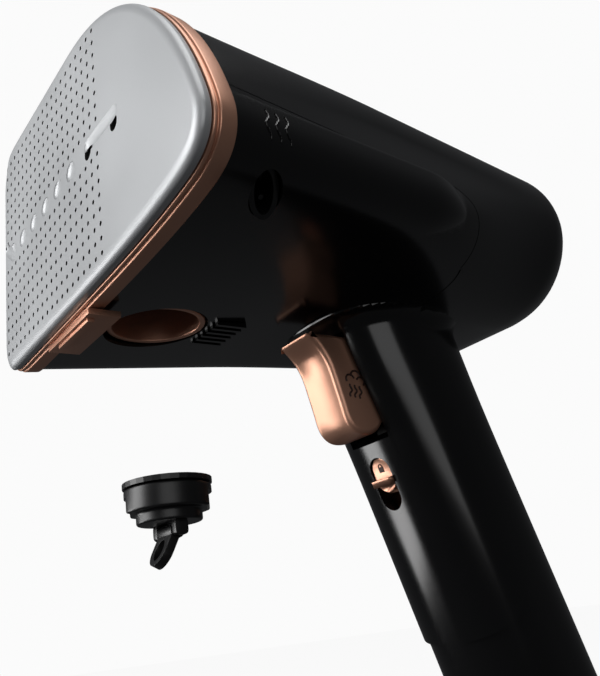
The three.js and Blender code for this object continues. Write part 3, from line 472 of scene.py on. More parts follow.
def front_region():
    """The front housing's side in (y, z): below the crease, round the lobe's end, down to the sleeve's lip."""
    crease_end = LOBE_END_Y - LOBE_ROUND
    a = np.array([crease_end, crease_at(crease_end)])
    b = np.array([LOBE_END_Y + 4, a[1] - 16])
    flank = grip_point(0.5, 12)
    flank_end = grip_point(0.5, SLEEVE_END - 30)
    front = grip_point(-12, SLEEVE_END - 8)
    lip = grip_point(-60, SLEEVE_END)
    lines = [
        bezier([(-12, crease_at(-12)), a], 20),
        bezier([a, (LOBE_END_Y + 3, a[1] - 1), b], 24),
        bezier([b, (flank[0] - 5, flank[1] + 12), flank], 24),
        bezier([flank, flank_end], 20),
        bezier([flank_end, grip_point(0.5, SLEEVE_END - 14), front], 20),
        bezier([front, lip], 4),
        np.array([lip, (-12, lip[1])]),
    ]
    return np.vstack(lines)


FRONT_REGION = front_region()


def hollows(name):
    """The rooms inside the barrel, the handle and the lobe, as tools that take them away."""
    barrel = rear_body(name + "_barrel", WALL, HOUSING_START - 1, BARREL_END_Y - WALL, BARREL_ROUND - WALL, 8, 8)
    handle = loft(name + "_handle", grip_rings([-12, 0, 10, 20, 32, 46, GRIP_LENGTH + 5], -WALL, 48))
    nose = lobe(name + "_nose", inset(OUTLINE, WALL), HOUSING_START - 2, LOBE_END_Y - WALL, 4, 8)
    nose = combine(nose, [prism_across(name + "_belt", inset(FRONT_REGION, WALL), 120)], "INTERSECT")
    return [barrel, handle, nose]


# ---- Placing functions of the smaller groups ----
UNDER_PORT = on_taper(0, BOTTOM_Z, PORT_Y)[2]


def in_port(points):
    """Port frame to head frame: z = 0 is the skin over the port, z runs up into the head."""
    return np.asarray(points, float) + np.array([PORT_X, PORT_Y, UNDER_PORT])


CATCH_DEPTH = CATCH_DEPTH / np.linalg.norm(CATCH_DEPTH)
CATCH_SHORT = np.cross(CATCH_DEPTH, CATCH_LONG)
CATCH_SHORT /= np.linalg.norm(CATCH_SHORT)
CATCH_LONG = np.cross(CATCH_SHORT, CATCH_DEPTH)


def in_catch(points):
    """Catch frame to head frame: x along the oval, y across it, z outwards."""
    basis = np.stack([CATCH_LONG, CATCH_SHORT, CATCH_DEPTH])
    return np.asarray(points, float) @ basis + CATCH_CENTRE


def oval(name, grow, low, high, sides=72):
    """An elliptic cylinder along the catch's own axis."""
    size = np.array([6.9 + grow, 3.6 + grow])
    ring = circle(1, sides) * size
    return loft(name, in_catch(np.stack([np.column_stack([ring, np.full(sides, z)]) for z in (low, high)])))


def slot_ring(length, width, steps=24):
    """A slot with round ends in (x, z), about its middle."""
    turn = np.linspace(0, np.pi, steps)
    top = np.stack([np.cos(turn) * width / 2, np.sin(turn) * width / 2 + (length - width) / 2], 1)
    return np.vstack([top, -top])


def slot_solid(name, length, width, y_low, y_high, middle):
    """A slot carried through the handle's front wall, between two depths in the grip frame."""
    ring = slot_ring(length, width)
    rings = [np.column_stack([ring[:, 0], np.full(len(ring), y), ring[:, 1] + middle]) for y in (y_low, y_high)]
    return loft(name, from_grip(np.array(rings)))


SLOT_FRONT = -(GRIP_HALF_DEPTH + SLEEVE_PROUD + GRIP_FLARE * math.exp(-((SLIDER_ALONG / 22) ** 2)))
INNER_FRONT = -(GRIP_HALF_DEPTH - WALL)


def trigger_profile():
    """The trigger's side in (y, z): a fingertip rest with a hooked lower end."""
    curves = [
        bezier([(67.2, -33.8), (74.1, -39), (75.2, -46)], 14),
        bezier([(75.2, -46), (77.2, -55)], 8),
        bezier([(77.2, -55), (77.8, -62.4), (83, -63.2)], 14),
        bezier([(83, -63.2), (90, -63.6), (91.5, -58.5)], 12),
        bezier([(91.5, -58.5), (94.5, -58)], 4),
        bezier([(94.5, -58), (97.4, -40)], 10),
        bezier([(97.4, -40), (97.6, -34.4), (94, -34.3)], 10),
        bezier([(94, -34.3), (82, -33.6), (67.2, -33.8)], 12),
    ]
    return np.vstack(curves)


TRIGGER_PROFILE = trigger_profile()


def swung(points, degrees):
    """Side-view points turned about the trigger's pivot."""
    c, s = math.cos(math.radians(degrees)), math.sin(math.radians(degrees))
    y, z = points[:, 0] - PIVOT[0], points[:, 1] - PIVOT[1]
    return np.stack([PIVOT[0] + y * c - z * s, PIVOT[1] + y * s + z * c], 1)


# ---- Materials ----
def srgb(code):
    """A hex colour as the linear colour that the shader works in."""
    parts = [int(code[i : i + 2], 16) / 255 for i in (1, 3, 5)]
    return (*[c / 12.92 if c <= 0.04045 else ((c + 0.055) / 1.055) ** 2.4 for c in parts], 1.0)


def add(tree, kind, sockets=None, **settings):
    """Adds a node, sets its settings, and sets or links each of its sockets."""
    made = tree.nodes.new(kind)
    for key, value in settings.items():
        setattr(made, key, value)
    for key, value in (sockets or {}).items():
        if isinstance(value, bpy.types.NodeSocket):
            tree.links.new(value, made.inputs[key])
        else:
            made.inputs[key].default_value = value
    return made


def finish_of(name, dark, light, rough_low, rough_high, patch_mm, grain_mm, grain_depth_mm, **shader):
    """A material whose colour and roughness drift between two values over patches of one size, with a fine grain."""
    made = bpy.data.materials.new(name)
    made.use_nodes = True
    tree = made.node_tree
    tree.nodes.clear()
    place = add(tree, "ShaderNodeTexCoord").outputs["Object"]
    drift = add(tree, "ShaderNodeTexNoise", {"Vector": place, "Scale": 1000 / patch_mm, "Detail": 2.0})
    colour = add(tree, "ShaderNodeMix", {"Factor": drift.outputs["Fac"]}, data_type="RGBA")
    colour.inputs["A"].default_value = srgb(dark)
    colour.inputs["B"].default_value = srgb(light)
    rough = add(
        tree,
        "ShaderNodeMapRange",
        {"Value": drift.outputs["Fac"], "From Min": 0.3, "From Max": 0.7, "To Min": rough_low, "To Max": rough_high},
    )
    grain = add(tree, "ShaderNodeTexNoise", {"Vector": place, "Scale": 1000 / grain_mm, "Detail": 3.0})
    bump = add(
        tree,
        "ShaderNodeBump",
        {"Height": grain.outputs["Fac"], "Distance": grain_depth_mm / 1000, "Strength": 1.0},
    )
    sockets = {
        "Base Color": colour.outputs["Result"],
        "Roughness": rough.outputs["Result"],
        "Normal": bump.outputs["Normal"],
    }
    sockets.update(shader)
    surface = add(tree, "ShaderNodeBsdfPrincipled", sockets)
    add(tree, "ShaderNodeOutputMaterial", {"Surface": surface.outputs["BSDF"]})
    return made


# ABS moulded in a polished tool: deep black, a clear reflection with a very slight waviness.
gloss_abs = finish_of("moulded_gloss_abs", "#060607", "#0a0a0b", 0.15, 0.22, 60, 9, 0.003, IOR=1.5)
# ABS from a sparked tool: a soft black whose fine grain scatters the highlight.
satin_abs = finish_of("sparked_satin_abs", "#0b0b0c", "#121213", 0.30, 0.42, 25, 0.6, 0.012, IOR=1.5)
# ABS with a vacuum-metallised rose-gold coat under satin lacquer: warm, with broad highlights.
rose_gold = finish_of("satin_rose_gold", "#cf9a80", "#dba88f", 0.36, 0.46, 30, 0.5, 0.006, Metallic=0.8)
# The same coat, made darker as painted shade for the slider's tray where it sits deep in its slot.
shaded_rose_gold = finish_of("rose_gold_painted_shade", "#8a5137", "#a5674a", 0.38, 0.5, 12, 0.5, 0.01, Metallic=0.9)
# Aluminium sole with a ceramic-filled coat: pale, even and satin, so holes read clearly on it.
sole_coat = finish_of("coated_aluminium_sole", "#b2b4b6", "#bbbdbf", 0.38, 0.46, 40, 0.5, 0.004, Metallic=0.3)
# Near-black painted shade for the insides of the steam-plate bores and outlets, standing in for the shade deep in the
# holes.
painted_bore_shade = finish_of("bore_painted_shade", "#050505", "#0b0a0a", 0.8, 0.95, 4, 0.4, 0.01)
# Die-cast aluminium, left as cast: grainy and grey.
cast_aluminium = finish_of("die_cast_aluminium", "#85878a", "#9fa1a3", 0.5, 0.68, 15, 1.2, 0.05, Metallic=1.0)
# Plain drawn steel pins and screws.
drawn_steel = finish_of("drawn_steel", "#8d9093", "#a4a7aa", 0.24, 0.34, 6, 0.4, 0.004, Metallic=1.0)
# Red iron-oxide silicone, moulded: dull with a slight sheen.
red_silicone = finish_of("iron_oxide_silicone", "#7c2416", "#92301f", 0.55, 0.7, 10, 0.8, 0.01)
# Smoked polycarbonate, moulded: dark and clear.
smoked_tank = finish_of("smoked_polycarbonate", "#1b1e22", "#24282c", 0.06, 0.12, 40, 6, 0.003, IOR=1.58)
# Glass-fibre board under green solder mask.
solder_mask = finish_of("green_solder_mask", "#154a2a", "#1f5f37", 0.3, 0.45, 5, 0.7, 0.01)
# Dark pad-printed ink.
dark_ink = finish_of("pad_printed_ink", "#2a1710", "#38211a", 0.5, 0.6, 3, 0.4, 0.004)


# ---- Steam plate ----
def steam_plate():
    """Rings from the plate's edge to its flat face: inset = w (1 - cos), depth = h (1 - sin) of one angle. w is
    wider along the heel. Perforations, outlets, dimples and two shallow channels are then cut into it."""
    heel = smoothstep(-OUTLINE[:, 0], -HEEL_X - 9, -HEEL_X - 1)
    roll = 2.6 + 4.2 * heel
    height = 1.7 + 1.0 * heel
    angle = np.linspace(0, np.pi / 2, 14)
    draw = roll[None] * (1 - np.cos(angle))[:, None]
    depth = height[None] * (1 - np.sin(angle))[:, None]
    line = inset(np.broadcast_to(OUTLINE, (len(angle), *OUTLINE.shape)), draw)
    rings = taper(line, np.zeros(len(angle)))
    rings[..., 1] = depth
    back = taper(OUTLINE[None], np.array([PLATE_DEPTH]))
    plate = loft("plate_skin", np.concatenate([back, rings]))
    columns = HOLES_FROM_X - HOLE_PITCH * np.arange(HOLE_COLUMNS)
    rows = (FIRST_ROW + np.arange(HOLE_ROWS)) * HOLE_PITCH
    at = np.array([(x, z * side) for x in columns for z in rows for side in (-1, 1)])
    sides = 12
    ring = circle(HOLE_RADIUS, sides)
    tops = np.concatenate([at[:, None] + ring[None], at[:, None] + ring[None]], 1)
    depths = np.concatenate([np.full(sides, -1.0), np.full(sides, 6.0)])
    points = np.stack([tops[..., 0], np.broadcast_to(depths, tops.shape[:2]), tops[..., 1]], -1)
    one = [(i, (i + 1) % sides, sides + (i + 1) % sides, sides + i) for i in range(sides)]
    one += [tuple(range(sides - 1, -1, -1)), tuple(range(sides, 2 * sides))]
    faces = [tuple(k * 2 * sides + i for i in face) for k in range(len(at)) for face in one]
    drills = mesh_piece("drills", points.reshape(-1, 3), faces)
    tools = [drills]
    for i, (x, z) in enumerate(OUTLETS):
        to_outlet = lambda p, x=x, z=z: p[..., [0, 2, 1]] + np.array([x, 0, z])
        tools.append(cylinder(f"outlet_{i}", OUTLET_RADIUS, -1, 6, 40, to_outlet))
    turn = np.linspace(0, np.pi, 12)[1:-1]
    round_x, round_z = circle(1, 32).T
    wide, deep, tall = DIMPLE_SHAPE
    for i in range(DIMPLES):
        x = DIMPLE_FROM_X - DIMPLE_PITCH * i
        rings = [
            np.column_stack([x + wide * np.sin(t) * round_x, np.full(32, -deep * np.cos(t)), tall * np.sin(t) * round_z])
            for t in turn
        ]
        tools.append(loft(f"dimple_{i}", np.array(rings)))
    for name, start, end in CHANNELS:
        t = np.linspace(0, 1, 30)
        x, z = (start[k] + (end[k] - start[k]) * t for k in (0, 1))
        path = np.stack([x, np.full(30, -2.35), z], 1)
        tools.append(tube(name, path, 2.3 + 0.75 * np.sqrt(np.maximum(1 - (2 * t - 1) ** 8, 0)), 40))
    return combine(plate, tools, "DIFFERENCE")


# ---- Trim ring ----
def trim_ring():
    """A closed profile of (outward, depth) carried round the outline: a rounded band with a fine groove near
    the plate, joined by the tab and its bar on the underside."""
    start, end = PLATE_DEPTH + GAP, PLATE_DEPTH + RING_DEPTH
    proud, wall = RING_PROUD, RING_WALL
    band = [(-wall, start), (proud - 0.45, start), (proud - 0.25, start + 0.75), (proud - 0.62, start + 0.95)]
    band += [(proud - 0.62, start + 1.2), (proud, start + 1.45), (proud, end), (-wall, end)]
    profile = round_profile(band, 0.3, 4)
    line = np.stack([inset(OUTLINE, -out) for out in profile[:, 0]])
    ring = loft("ring_band", taper(line, profile[:, 1]), ring_closed=True)
    skin = on_taper(0, BOTTOM_Z, end)[2] - 0.9
    tab = block("tab", (TAB_FROM_X, start + 1, skin - TAB_DROP), (TAB_TO_X, end + TAB_DEPTH, skin + 0.4))
    bar = block("tab_bar", (-16, end - 3.4, skin - TAB_DROP - 0.8), (4, end - 1.6, skin))
    return combine(ring, [tab, bar], "UNION")


# ---- Housings ----
def lobe_outline():
    """The outline with its upper edge rolled in towards the crease by r - sqrt(r^2 - (r - drop)^2), where drop
    is how far a point is below the crease."""
    radius = 2.4
    drop = CREASE_Z - OUTLINE[:, 1]
    near = np.clip(radius - drop, 0, radius)
    return inset(OUTLINE, radius - np.sqrt(np.maximum(radius**2 - near**2, 0)))


def front_housing():
    """Lobe, barrel and sleeve joined, kept below the crease, hollowed, and opened for the trigger, port, slot
    and catch. The recess beside the port gets a floor and ribs."""
    skin = lobe("front_skin", lobe_outline(), HOUSING_START, LOBE_END_Y)
    barrel = rear_body("front_barrel", 0, HOUSING_START, BARREL_END_Y, BARREL_ROUND)
    sleeve = loft("front_sleeve", grip_rings(grip_stops(-12, SLEEVE_END + 20), SLEEVE_PROUD, fillet=5))
    skin = combine(skin, [barrel, sleeve], "UNION")
    skin = combine(skin, [prism_across("front_space", FRONT_REGION, 120)], "INTERSECT")
    tools = hollows("front_hollow")
    half = TRIGGER_HALF_WIDTH + TRIGGER_CLEAR
    for angle in (0, TRIGGER_SWING / 2, TRIGGER_SWING):
        tools.append(prism_across("window", inset(swung(TRIGGER_PROFILE, angle), -TRIGGER_CLEAR), half))
    tools.append(cylinder("mouth", PORT_MOUTH, -6, 12, 128, in_port))
    low, high = PORT_MOUTH + 1.4, PORT_MOUTH + 9.4
    tools.append(block("finger_recess", (-9, low, -4), (8, high, RECESS_DEPTH + 0.4), in_port))
    tools.append(slot_solid("slot", SLOT_LENGTH, SLOT_WIDTH, SLOT_FRONT - 6, SLOT_FRONT + 8, -SLIDER_ALONG))
    tools.append(oval("socket", 0, -8, 8))
    skin = combine(skin, tools, "DIFFERENCE")
    low, high = low - 0.5, high + 0.5
    ribs = [block("recess_floor", (-9.5, low, RECESS_DEPTH), (8.5, high, RECESS_DEPTH + 1.2), in_port)]
    for x in np.linspace(-8.4, 6.2, RECESS_RIBS):
        ribs.append(block("recess_rib", (x, low, 0.5), (x + 1.2, high, RECESS_DEPTH + 0.6), in_port))
    return combine(skin, ribs, "UNION")


def rear_housing():
    """Barrel and handle joined, kept above and behind the parting line, hollowed, opened for the filler, with
    two ears."""
    skin = rear_body("rear_skin", 0, HOUSING_START, BARREL_END_Y, BARREL_ROUND)
    handle = loft("rear_handle", grip_rings(grip_stops(-12, GRIP_LENGTH - FOOT_THICK - GAP), 0, fillet=5))
    skin = combine(skin, [handle], "UNION")
    top = on_taper(0, TOP_Z, FILLER_Y)[2]
    tools = [prism_across("grown_space", inset(FRONT_REGION, -GAP), 120), *hollows("rear_hollow")]
    at_filler = lambda p: p + np.array([0, FILLER_Y, 0])
    tools.append(cylinder("filler_hole", FILLER_RADIUS, top - 12, top + 6, 96, at_filler))
    skin = combine(skin, tools, "DIFFERENCE")
    hinge = np.array([FILLER_Y + 13.4, top + 1.7])
    ears = []
    for x in (4.0, -6.4):
        fore, aft, peak = hinge[0] - 2, hinge[0] + 2, hinge[1] + 2
        side = round_profile([(fore, top - 4), (aft, top - 4), (aft, peak), (fore, peak)], 1.2)
        rings = [np.column_stack([np.full(len(side), at), side]) for at in (x, x + 2.4)]
        ears.append(loft("ear", rings))
    return combine(skin, ears, "UNION")


plate = show(steam_plate(), "root", sole_coat, ["steam_plate"], 30)
plate.name = "perforated_plate"

# The faces inside the bores and outlets take a near-black painted shade: those whose centre is within a bore's radius
# and below its rim.
plate.data.materials.append(painted_bore_shade)
centres = np.empty(len(plate.data.polygons) * 3)
plate.data.polygons.foreach_get("center", centres)
centres = centres.reshape(-1, 3) * 1000 + FOOT
column = (centres[:, 0] - HOLES_FROM_X) / HOLE_PITCH
row = np.abs(centres[:, 2]) / HOLE_PITCH - FIRST_ROW
away = np.hypot(column - np.round(column), row - np.round(row)) * HOLE_PITCH
in_field = (column > 0.5 - HOLE_COLUMNS) & (column < 0.5) & (row > -0.5) & (row < HOLE_ROWS - 0.5)
outlet = np.min([np.hypot(centres[:, 0] - x, centres[:, 2] - z) for x, z in OUTLETS], axis=0)
deep = (centres[:, 1] > 0.02) & (centres[:, 1] < PLATE_DEPTH - 0.02)
dark = deep & ((in_field & (away < HOLE_RADIUS + 0.05)) | (outlet < OUTLET_RADIUS + 0.05))
plate.data.polygons.foreach_set("material_index", dark.astype(np.int32))
ring = show(trim_ring(), "root", rose_gold, ["trim_ring"], 40, 0.18)
ring.name = "rose_gold_ring"
front = show(front_housing(), "root", gloss_abs, ["front_housing"], 30)
front.name = "front_shell"
rear = show(rear_housing(), "root", gloss_abs, ["rear_housing"], 30)
rear.name = "rear_shell"


# ---- Descaling port ----
def port_collar():
    """A turned collar with a rounded lower lip and a flange over the housing wall."""
    outer = PORT_BORE + COLLAR_WALL
    flange = WALL + GAP + 1.7
    top = COLLAR_LOW + COLLAR_HEIGHT
    profile = [(PORT_BORE, COLLAR_LOW), (outer, COLLAR_LOW), (outer, flange), (outer + COLLAR_RIM, flange)]
    profile += [(outer + COLLAR_RIM, flange + 1.8), (outer, flange + 1.8), (outer, top), (PORT_BORE, top)]
    return turned_profile("port_collar", round_profile(profile, 0.5), 128, in_port)


show(port_collar(), "root", rose_gold, ["descale_collar"], 40)

# ---- Descaling cap ----
CAP_RADIUS = PORT_BORE - CAP_CLEAR
RING_AXIS_DROP = CAP_DISC + 2.2
CAP_ORIGIN_Z = CAP_DISC - 0.6 - CAP_DROP


def in_cap(points):
    """Cap frame to head frame, where the cap hangs: z = 0 is its band's underside."""
    return in_port(np.asarray(points, float) + np.array([0, 0, CAP_ORIGIN_Z]))


def spun(points, degrees):
    """Points turned about the cap's own axis."""
    c, s = math.cos(math.radians(degrees)), math.sin(math.radians(degrees))
    x, y = points[..., 0], points[..., 1]
    return np.stack([x * c - y * s, x * s + y * c, points[..., 2]], -1)


def cap_body():
    """A turned band with rounded rims, a shallow spigot above, a disc below, two bayonet notches and two lugs."""
    core = 0.05
    profile = [(core, -CAP_DISC), (CAP_DISC_RADIUS, -CAP_DISC), (CAP_DISC_RADIUS, 0), (CAP_RADIUS, 0)]
    profile += [(CAP_RADIUS, CAP_BAND), (8.6, CAP_BAND), (8.6, CAP_BAND + 1.6), (core, CAP_BAND + 1.6)]
    rounded = round_profile(profile, 0.7)
    rounded[:, 0] = np.maximum(rounded[:, 0], core)
    body = turned_profile("cap_body", rounded, 128, in_cap)
    lugs = []
    for x in (4.3, -6.3):
        low, high = -RING_AXIS_DROP - 1.4, -CAP_DISC + 0.4
        side = round_profile([(-1.7, low), (1.7, low), (1.7, high), (-1.7, high)], 1.2)
        lugs.append(loft("lug", in_cap([np.column_stack([np.full(len(side), at), side]) for at in (x, x + 2)])))
    body = combine(body, lugs, "UNION")
    cuts = []
    for turn in (-30, 150):
        around = lambda p, turn=turn: in_cap(spun(p, turn))
        cuts.append(block("notch", (-4.2, -CAP_RADIUS - 2, -1), (4.2, -CAP_RADIUS + 1.6, 4), around))
    return combine(body, cuts, "DIFFERENCE")


def pull_ring():
    """A flat loop: its outline and oval opening are carried through its thickness; a knuckle holds the pin."""
    turn = np.linspace(np.pi, 2 * np.pi, 40)
    arc = np.stack([3.9 * np.cos(turn), -5.4 + 3.9 * np.sin(turn)], 1)
    outline = np.vstack([[(-3.9, 1.3)], arc, [(3.9, 1.3)]])
    outline = round_profile(outline, 0.5, 3)
    thick = 2.2
    tilt = math.radians(CAP_RING_TILT)

    def place(points):
        y, z = points[..., 1], points[..., 2]
        c, s = math.cos(-tilt), math.sin(-tilt)
        return in_cap(np.stack([points[..., 0], y * c - z * s, y * s + z * c - RING_AXIS_DROP], -1))

    x, z = outline.T
    slab = [np.column_stack([x, np.full(len(x), y), z]) for y in (-thick / 2, thick / 2)]
    loop = loft("pull_loop", place(np.array(slab)))
    hole = circle(1, 48) * np.array([2.1, 2.7]) + np.array([0, -5.2])
    hole_rings = [np.column_stack([hole[:, 0], np.full(48, y), hole[:, 1]]) for y in (-4, 4)]
    knuckle = cylinder("knuckle", 1.9, -3.9, 3.9, 48, lambda p: place(p[..., [2, 0, 1]]))
    bore = cylinder("bore", 1.2, -8, 8, 32, lambda p: place(p[..., [2, 0, 1]]))
    loop = combine(loop, [knuckle], "UNION")
    return combine(loop, [loft("loop_hole", place(np.array(hole_rings))), bore], "DIFFERENCE")


show(cap_body(), "descale_cap", satin_abs, ["descale_cap"], 40, 0.25)
show(pull_ring(), "cap_ring", satin_abs, ["cap_ring"], 40, 0.3)


# ---- Trigger ----
def trigger():
    """Side profiles from cheek to cheek: towards each cheek they draw in like a quarter circle, and the finger
    face is dished between the cheeks by depth (1 - (x / half)^2)."""
    profile = smooth_closed(even(TRIGGER_PROFILE, 200), 16)
    round_by = 2.0
    angle = np.linspace(0, np.pi / 2, 9)
    edge = TRIGGER_HALF_WIDTH - round_by + round_by * np.sin(angle[::-1])
    flat = TRIGGER_HALF_WIDTH - round_by
    x = np.concatenate([-edge, np.linspace(-flat, flat, 15)[1:-1], edge[::-1]])
    over = np.clip(np.abs(x) - flat, 0, round_by)
    draw = round_by - np.sqrt(np.maximum(round_by**2 - over**2, 0))
    finger = smoothstep(-profile[:, 1], 34.5, 40) * smoothstep(88 - profile[:, 0], 0, 6)
    dish = 1.0 * np.maximum(1 - (x / (TRIGGER_HALF_WIDTH - 1)) ** 2, 0)
    inwards = draw[:, None] * 0.8 + dish[:, None] * finger[None]
    rings = inset(np.broadcast_to(profile, (len(x), *profile.shape)), inwards)
    across = np.broadcast_to(x[:, None, None], (*rings.shape[:2], 1))
    return loft("finger_trigger", np.concatenate([across, rings], -1))


def trigger_icon():
    """A small cloud over three wavy jets, as thin raised lines on the trigger's cheek."""
    centre, lean, size = np.array([82.6, -48.6]), math.radians(-8), 0.95
    side = TRIGGER_HALF_WIDTH + 0.02
    lines = []
    bumps = [(-1.9, 1.2, 1.5, 20, 215), (0.1, 2.6, 1.7, -5, 190), (2.0, 1.2, 1.4, -45, 165)]
    for cy, cz, r, a0, a1 in bumps:
        turn = np.radians(np.linspace(a0, a1, 24))
        lines.append(np.stack([cy + r * np.cos(turn), cz + r * np.sin(turn)], 1))
    for y in (-1.7, 0.1, 1.9):
        z = np.linspace(-0.4, -4.2, 24)
        lines.append(np.stack([y + 0.4 * np.sin(z * 2.2), z], 1))
    made = None
    for line in lines:
        c, s = math.cos(lean), math.sin(lean)
        y = centre[0] + size * (line[:, 0] * c - line[:, 1] * s)
        z = centre[1] + size * (line[:, 0] * s + line[:, 1] * c)
        stroke = tube("stroke", np.stack([np.full(len(y), side), y, z], 1), 0.3, 8)
        made = stroke if made is None else combine(made, [stroke], "UNION")
    made.name = "trigger_steam_icon"
    return made


show(trigger(), "trigger", rose_gold, ["trigger"], 60)
show(trigger_icon(), "trigger", dark_ink, (), 60)


# ---- Lock slider ----
def lock_slider():
    """A pill in the slot with a thumb bar across it and a guide plate behind the handle's wall."""
    length = SLOT_LENGTH - SLIDER_TRAVEL - 0.8
    top = -(SLIDER_ALONG - SLOT_LENGTH / 2 + 0.4)
    middle = top - length / 2
    half = SLOT_WIDTH / 2 - 0.4
    pill = slot_solid("slide_lock", length, 2 * half, SLOT_FRONT + 0.7, INNER_FRONT + SLIDER_BACK, middle)
    back = INNER_FRONT + SLIDER_BACK
    guide = block("guide", (-5.6, back - 1.4, middle - 6), (5.6, back, middle + 6), from_grip)
    bar_z = top - length + 3.3
    side, low, high = half - 0.1, SLOT_FRONT - 1.5, SLOT_FRONT + 1.5
    bar = block("thumb_bar", (-side, low, bar_z - 1), (side, high, bar_z + 1), from_grip)
    return combine(pill, [guide, bar], "UNION")


def slider_icon():
    """A tiny padlock: a square body and a shackle, as thin raised lines on the pill."""
    top = -(SLIDER_ALONG - SLOT_LENGTH / 2 + 0.4) - 3.1
    y = SLOT_FRONT + 0.7
    turn = np.linspace(0, np.pi, 20)
    shackle = np.stack([0.7 * np.cos(turn), np.full(20, y), top + 0.5 + 0.8 * np.sin(turn)], 1)
    made = tube("slider_padlock_icon", from_grip(shackle), 0.16, 8)
    body = block("padlock", (-1.0, y - 0.12, top - 1.1), (1.0, y + 0.2, top + 0.5), from_grip)
    return combine(made, [body], "UNION")


show(lock_slider(), "lock_slider", rose_gold, ["lock_slider"], 40, 0.3)
show(slider_icon(), "lock_slider", dark_ink, (), 60)


# ---- Catch socket ----
def catch_cup():
    """An oval cup behind the opening with a sloping peg inside it."""
    cup = combine(oval("catch_socket", -GAP, -9, -0.6), [oval("cup_room", -1.5, -7.6, 2)], "DIFFERENCE")
    stops = np.linspace(0, 1, 8)
    path = np.stack([-2.2 + 0 * stops, 0 * stops, -8.0 + 5.6 * stops], 1)
    return combine(cup, [tube("peg", in_catch(path), 2.0 - 1.4 * stops, 24)], "UNION")


show(catch_cup(), "root", satin_abs, ["catch_cup"], 40, 0.2)


def steam_mark():
    """Three raised wavy lines on the lobe beside the socket, a plain sign for steam."""
    made = None
    for i, shift in enumerate((-2.6, 0.0, 2.6)):
        t = np.linspace(0, 1, 26)
        outline = np.stack([np.full(26, 71.0), -16.5 - 7.0 * t], 1)
        index = np.abs(OUTLINE[None, :, 1] - outline[:, 1:2]) + 100 * (OUTLINE[None, :, 0] < 0)
        on_skin = OUTLINE[index.argmin(1)]
        depth = 19.5 + shift + 0.6 * np.sin(t * 2 * np.pi * 1.4)
        points = np.stack([taper(on_skin[k : k + 1], np.array(depth[k]))[0] for k in range(26)])
        stroke = tube("steam_wave_mark", points, 0.24, 8)
        made = stroke if made is None else combine(made, [stroke], "UNION")
    return made


show(steam_mark(), "root", gloss_abs, (), 60)


# ---- Filler flap ----
def filler_flap():
    """A flat disc with rounded edges and a plug below, an arm, and a hinge knuckle with its bore."""
    top = on_taper(0, TOP_Z, FILLER_Y)[2]
    under = top - FLAP_THICK
    hinge_y, hinge_z = FILLER_Y + 13.4, top + 1.7
    at = np.array([0, FILLER_Y, 0])
    core = 0.05
    rim = FILLER_RADIUS - 0.4
    profile = [(core, under - 3), (6.3, under - 3), (6.3, under), (rim, under), (rim, top), (core, top)]
    rounded = round_profile(profile, 0.5)
    rounded[:, 0] = np.maximum(rounded[:, 0], core)
    flap = turned_profile("filler_lid", rounded, 128, lambda p: p + at)
    arm = block("arm", (-3.6, FILLER_Y + 4, top - 0.6), (3.6, hinge_y, top + 2.6))
    at_hinge = lambda p: p[..., [2, 0, 1]] + np.array([0, hinge_y, hinge_z])
    knuckle = cylinder("lid_knuckle", 1.9, -3.6, 3.6, 48, at_hinge)
    bore = cylinder("lid_bore", 1.4, -10, 10, 32, at_hinge)
    return combine(combine(flap, [arm, knuckle], "UNION"), [bore], "DIFFERENCE")


show(filler_flap(), "filler_flap", satin_abs, ["filler_flap"], 40, 0.3)


# ---- Foot ----
def handle_foot():
    """A flange of the handle's section with a rounded rim, a spigot inside the handle, and holes for the gland
    and the screws."""
    def slab(name, margin, low, high):
        return loft(name, grip_rings([low, high], margin, 160))

    edge = np.array([GRIP_LENGTH - FOOT_THICK, GRIP_LENGTH - 0.9, GRIP_LENGTH - 0.35, GRIP_LENGTH - 0.08, GRIP_LENGTH])
    margins = [0, 0, -0.2, -0.5, -0.9]
    rings = np.concatenate([grip_rings([a], m, 160) for a, m in zip(edge, margins)])
    flange = loft("foot_flange", rings)
    spigot = combine(
        slab("spigot", -WALL - GAP, GRIP_LENGTH - 10, GRIP_LENGTH - 1),
        [slab("spigot_room", -WALL - GAP - 2.2, GRIP_LENGTH - 12, GRIP_LENGTH - FOOT_THICK)],
        "DIFFERENCE",
    )
    foot = combine(flange, [spigot], "UNION")
    low, high = -GRIP_LENGTH - 2, -GRIP_LENGTH + 20
    holes = [cylinder("gland_hole", GLAND_RADIUS + GAP, low, high, 64, lambda p: from_grip(p + np.array([0, GLAND_Y, 0])))]
    for x in (-12.0, 12.0):
        move = np.array([x, 0, 0])
        holes.append(cylinder("screw_hole", 1.7, low, high, 40, lambda p, move=move: from_grip(p + move)))
        holes.append(cylinder("screw_sink", 3.1, low, -GRIP_LENGTH + 1.6, 48, lambda p, move=move: from_grip(p + move)))
    return combine(foot, holes, "DIFFERENCE")


show(handle_foot(), "root", satin_abs, ["handle_foot"], 40)


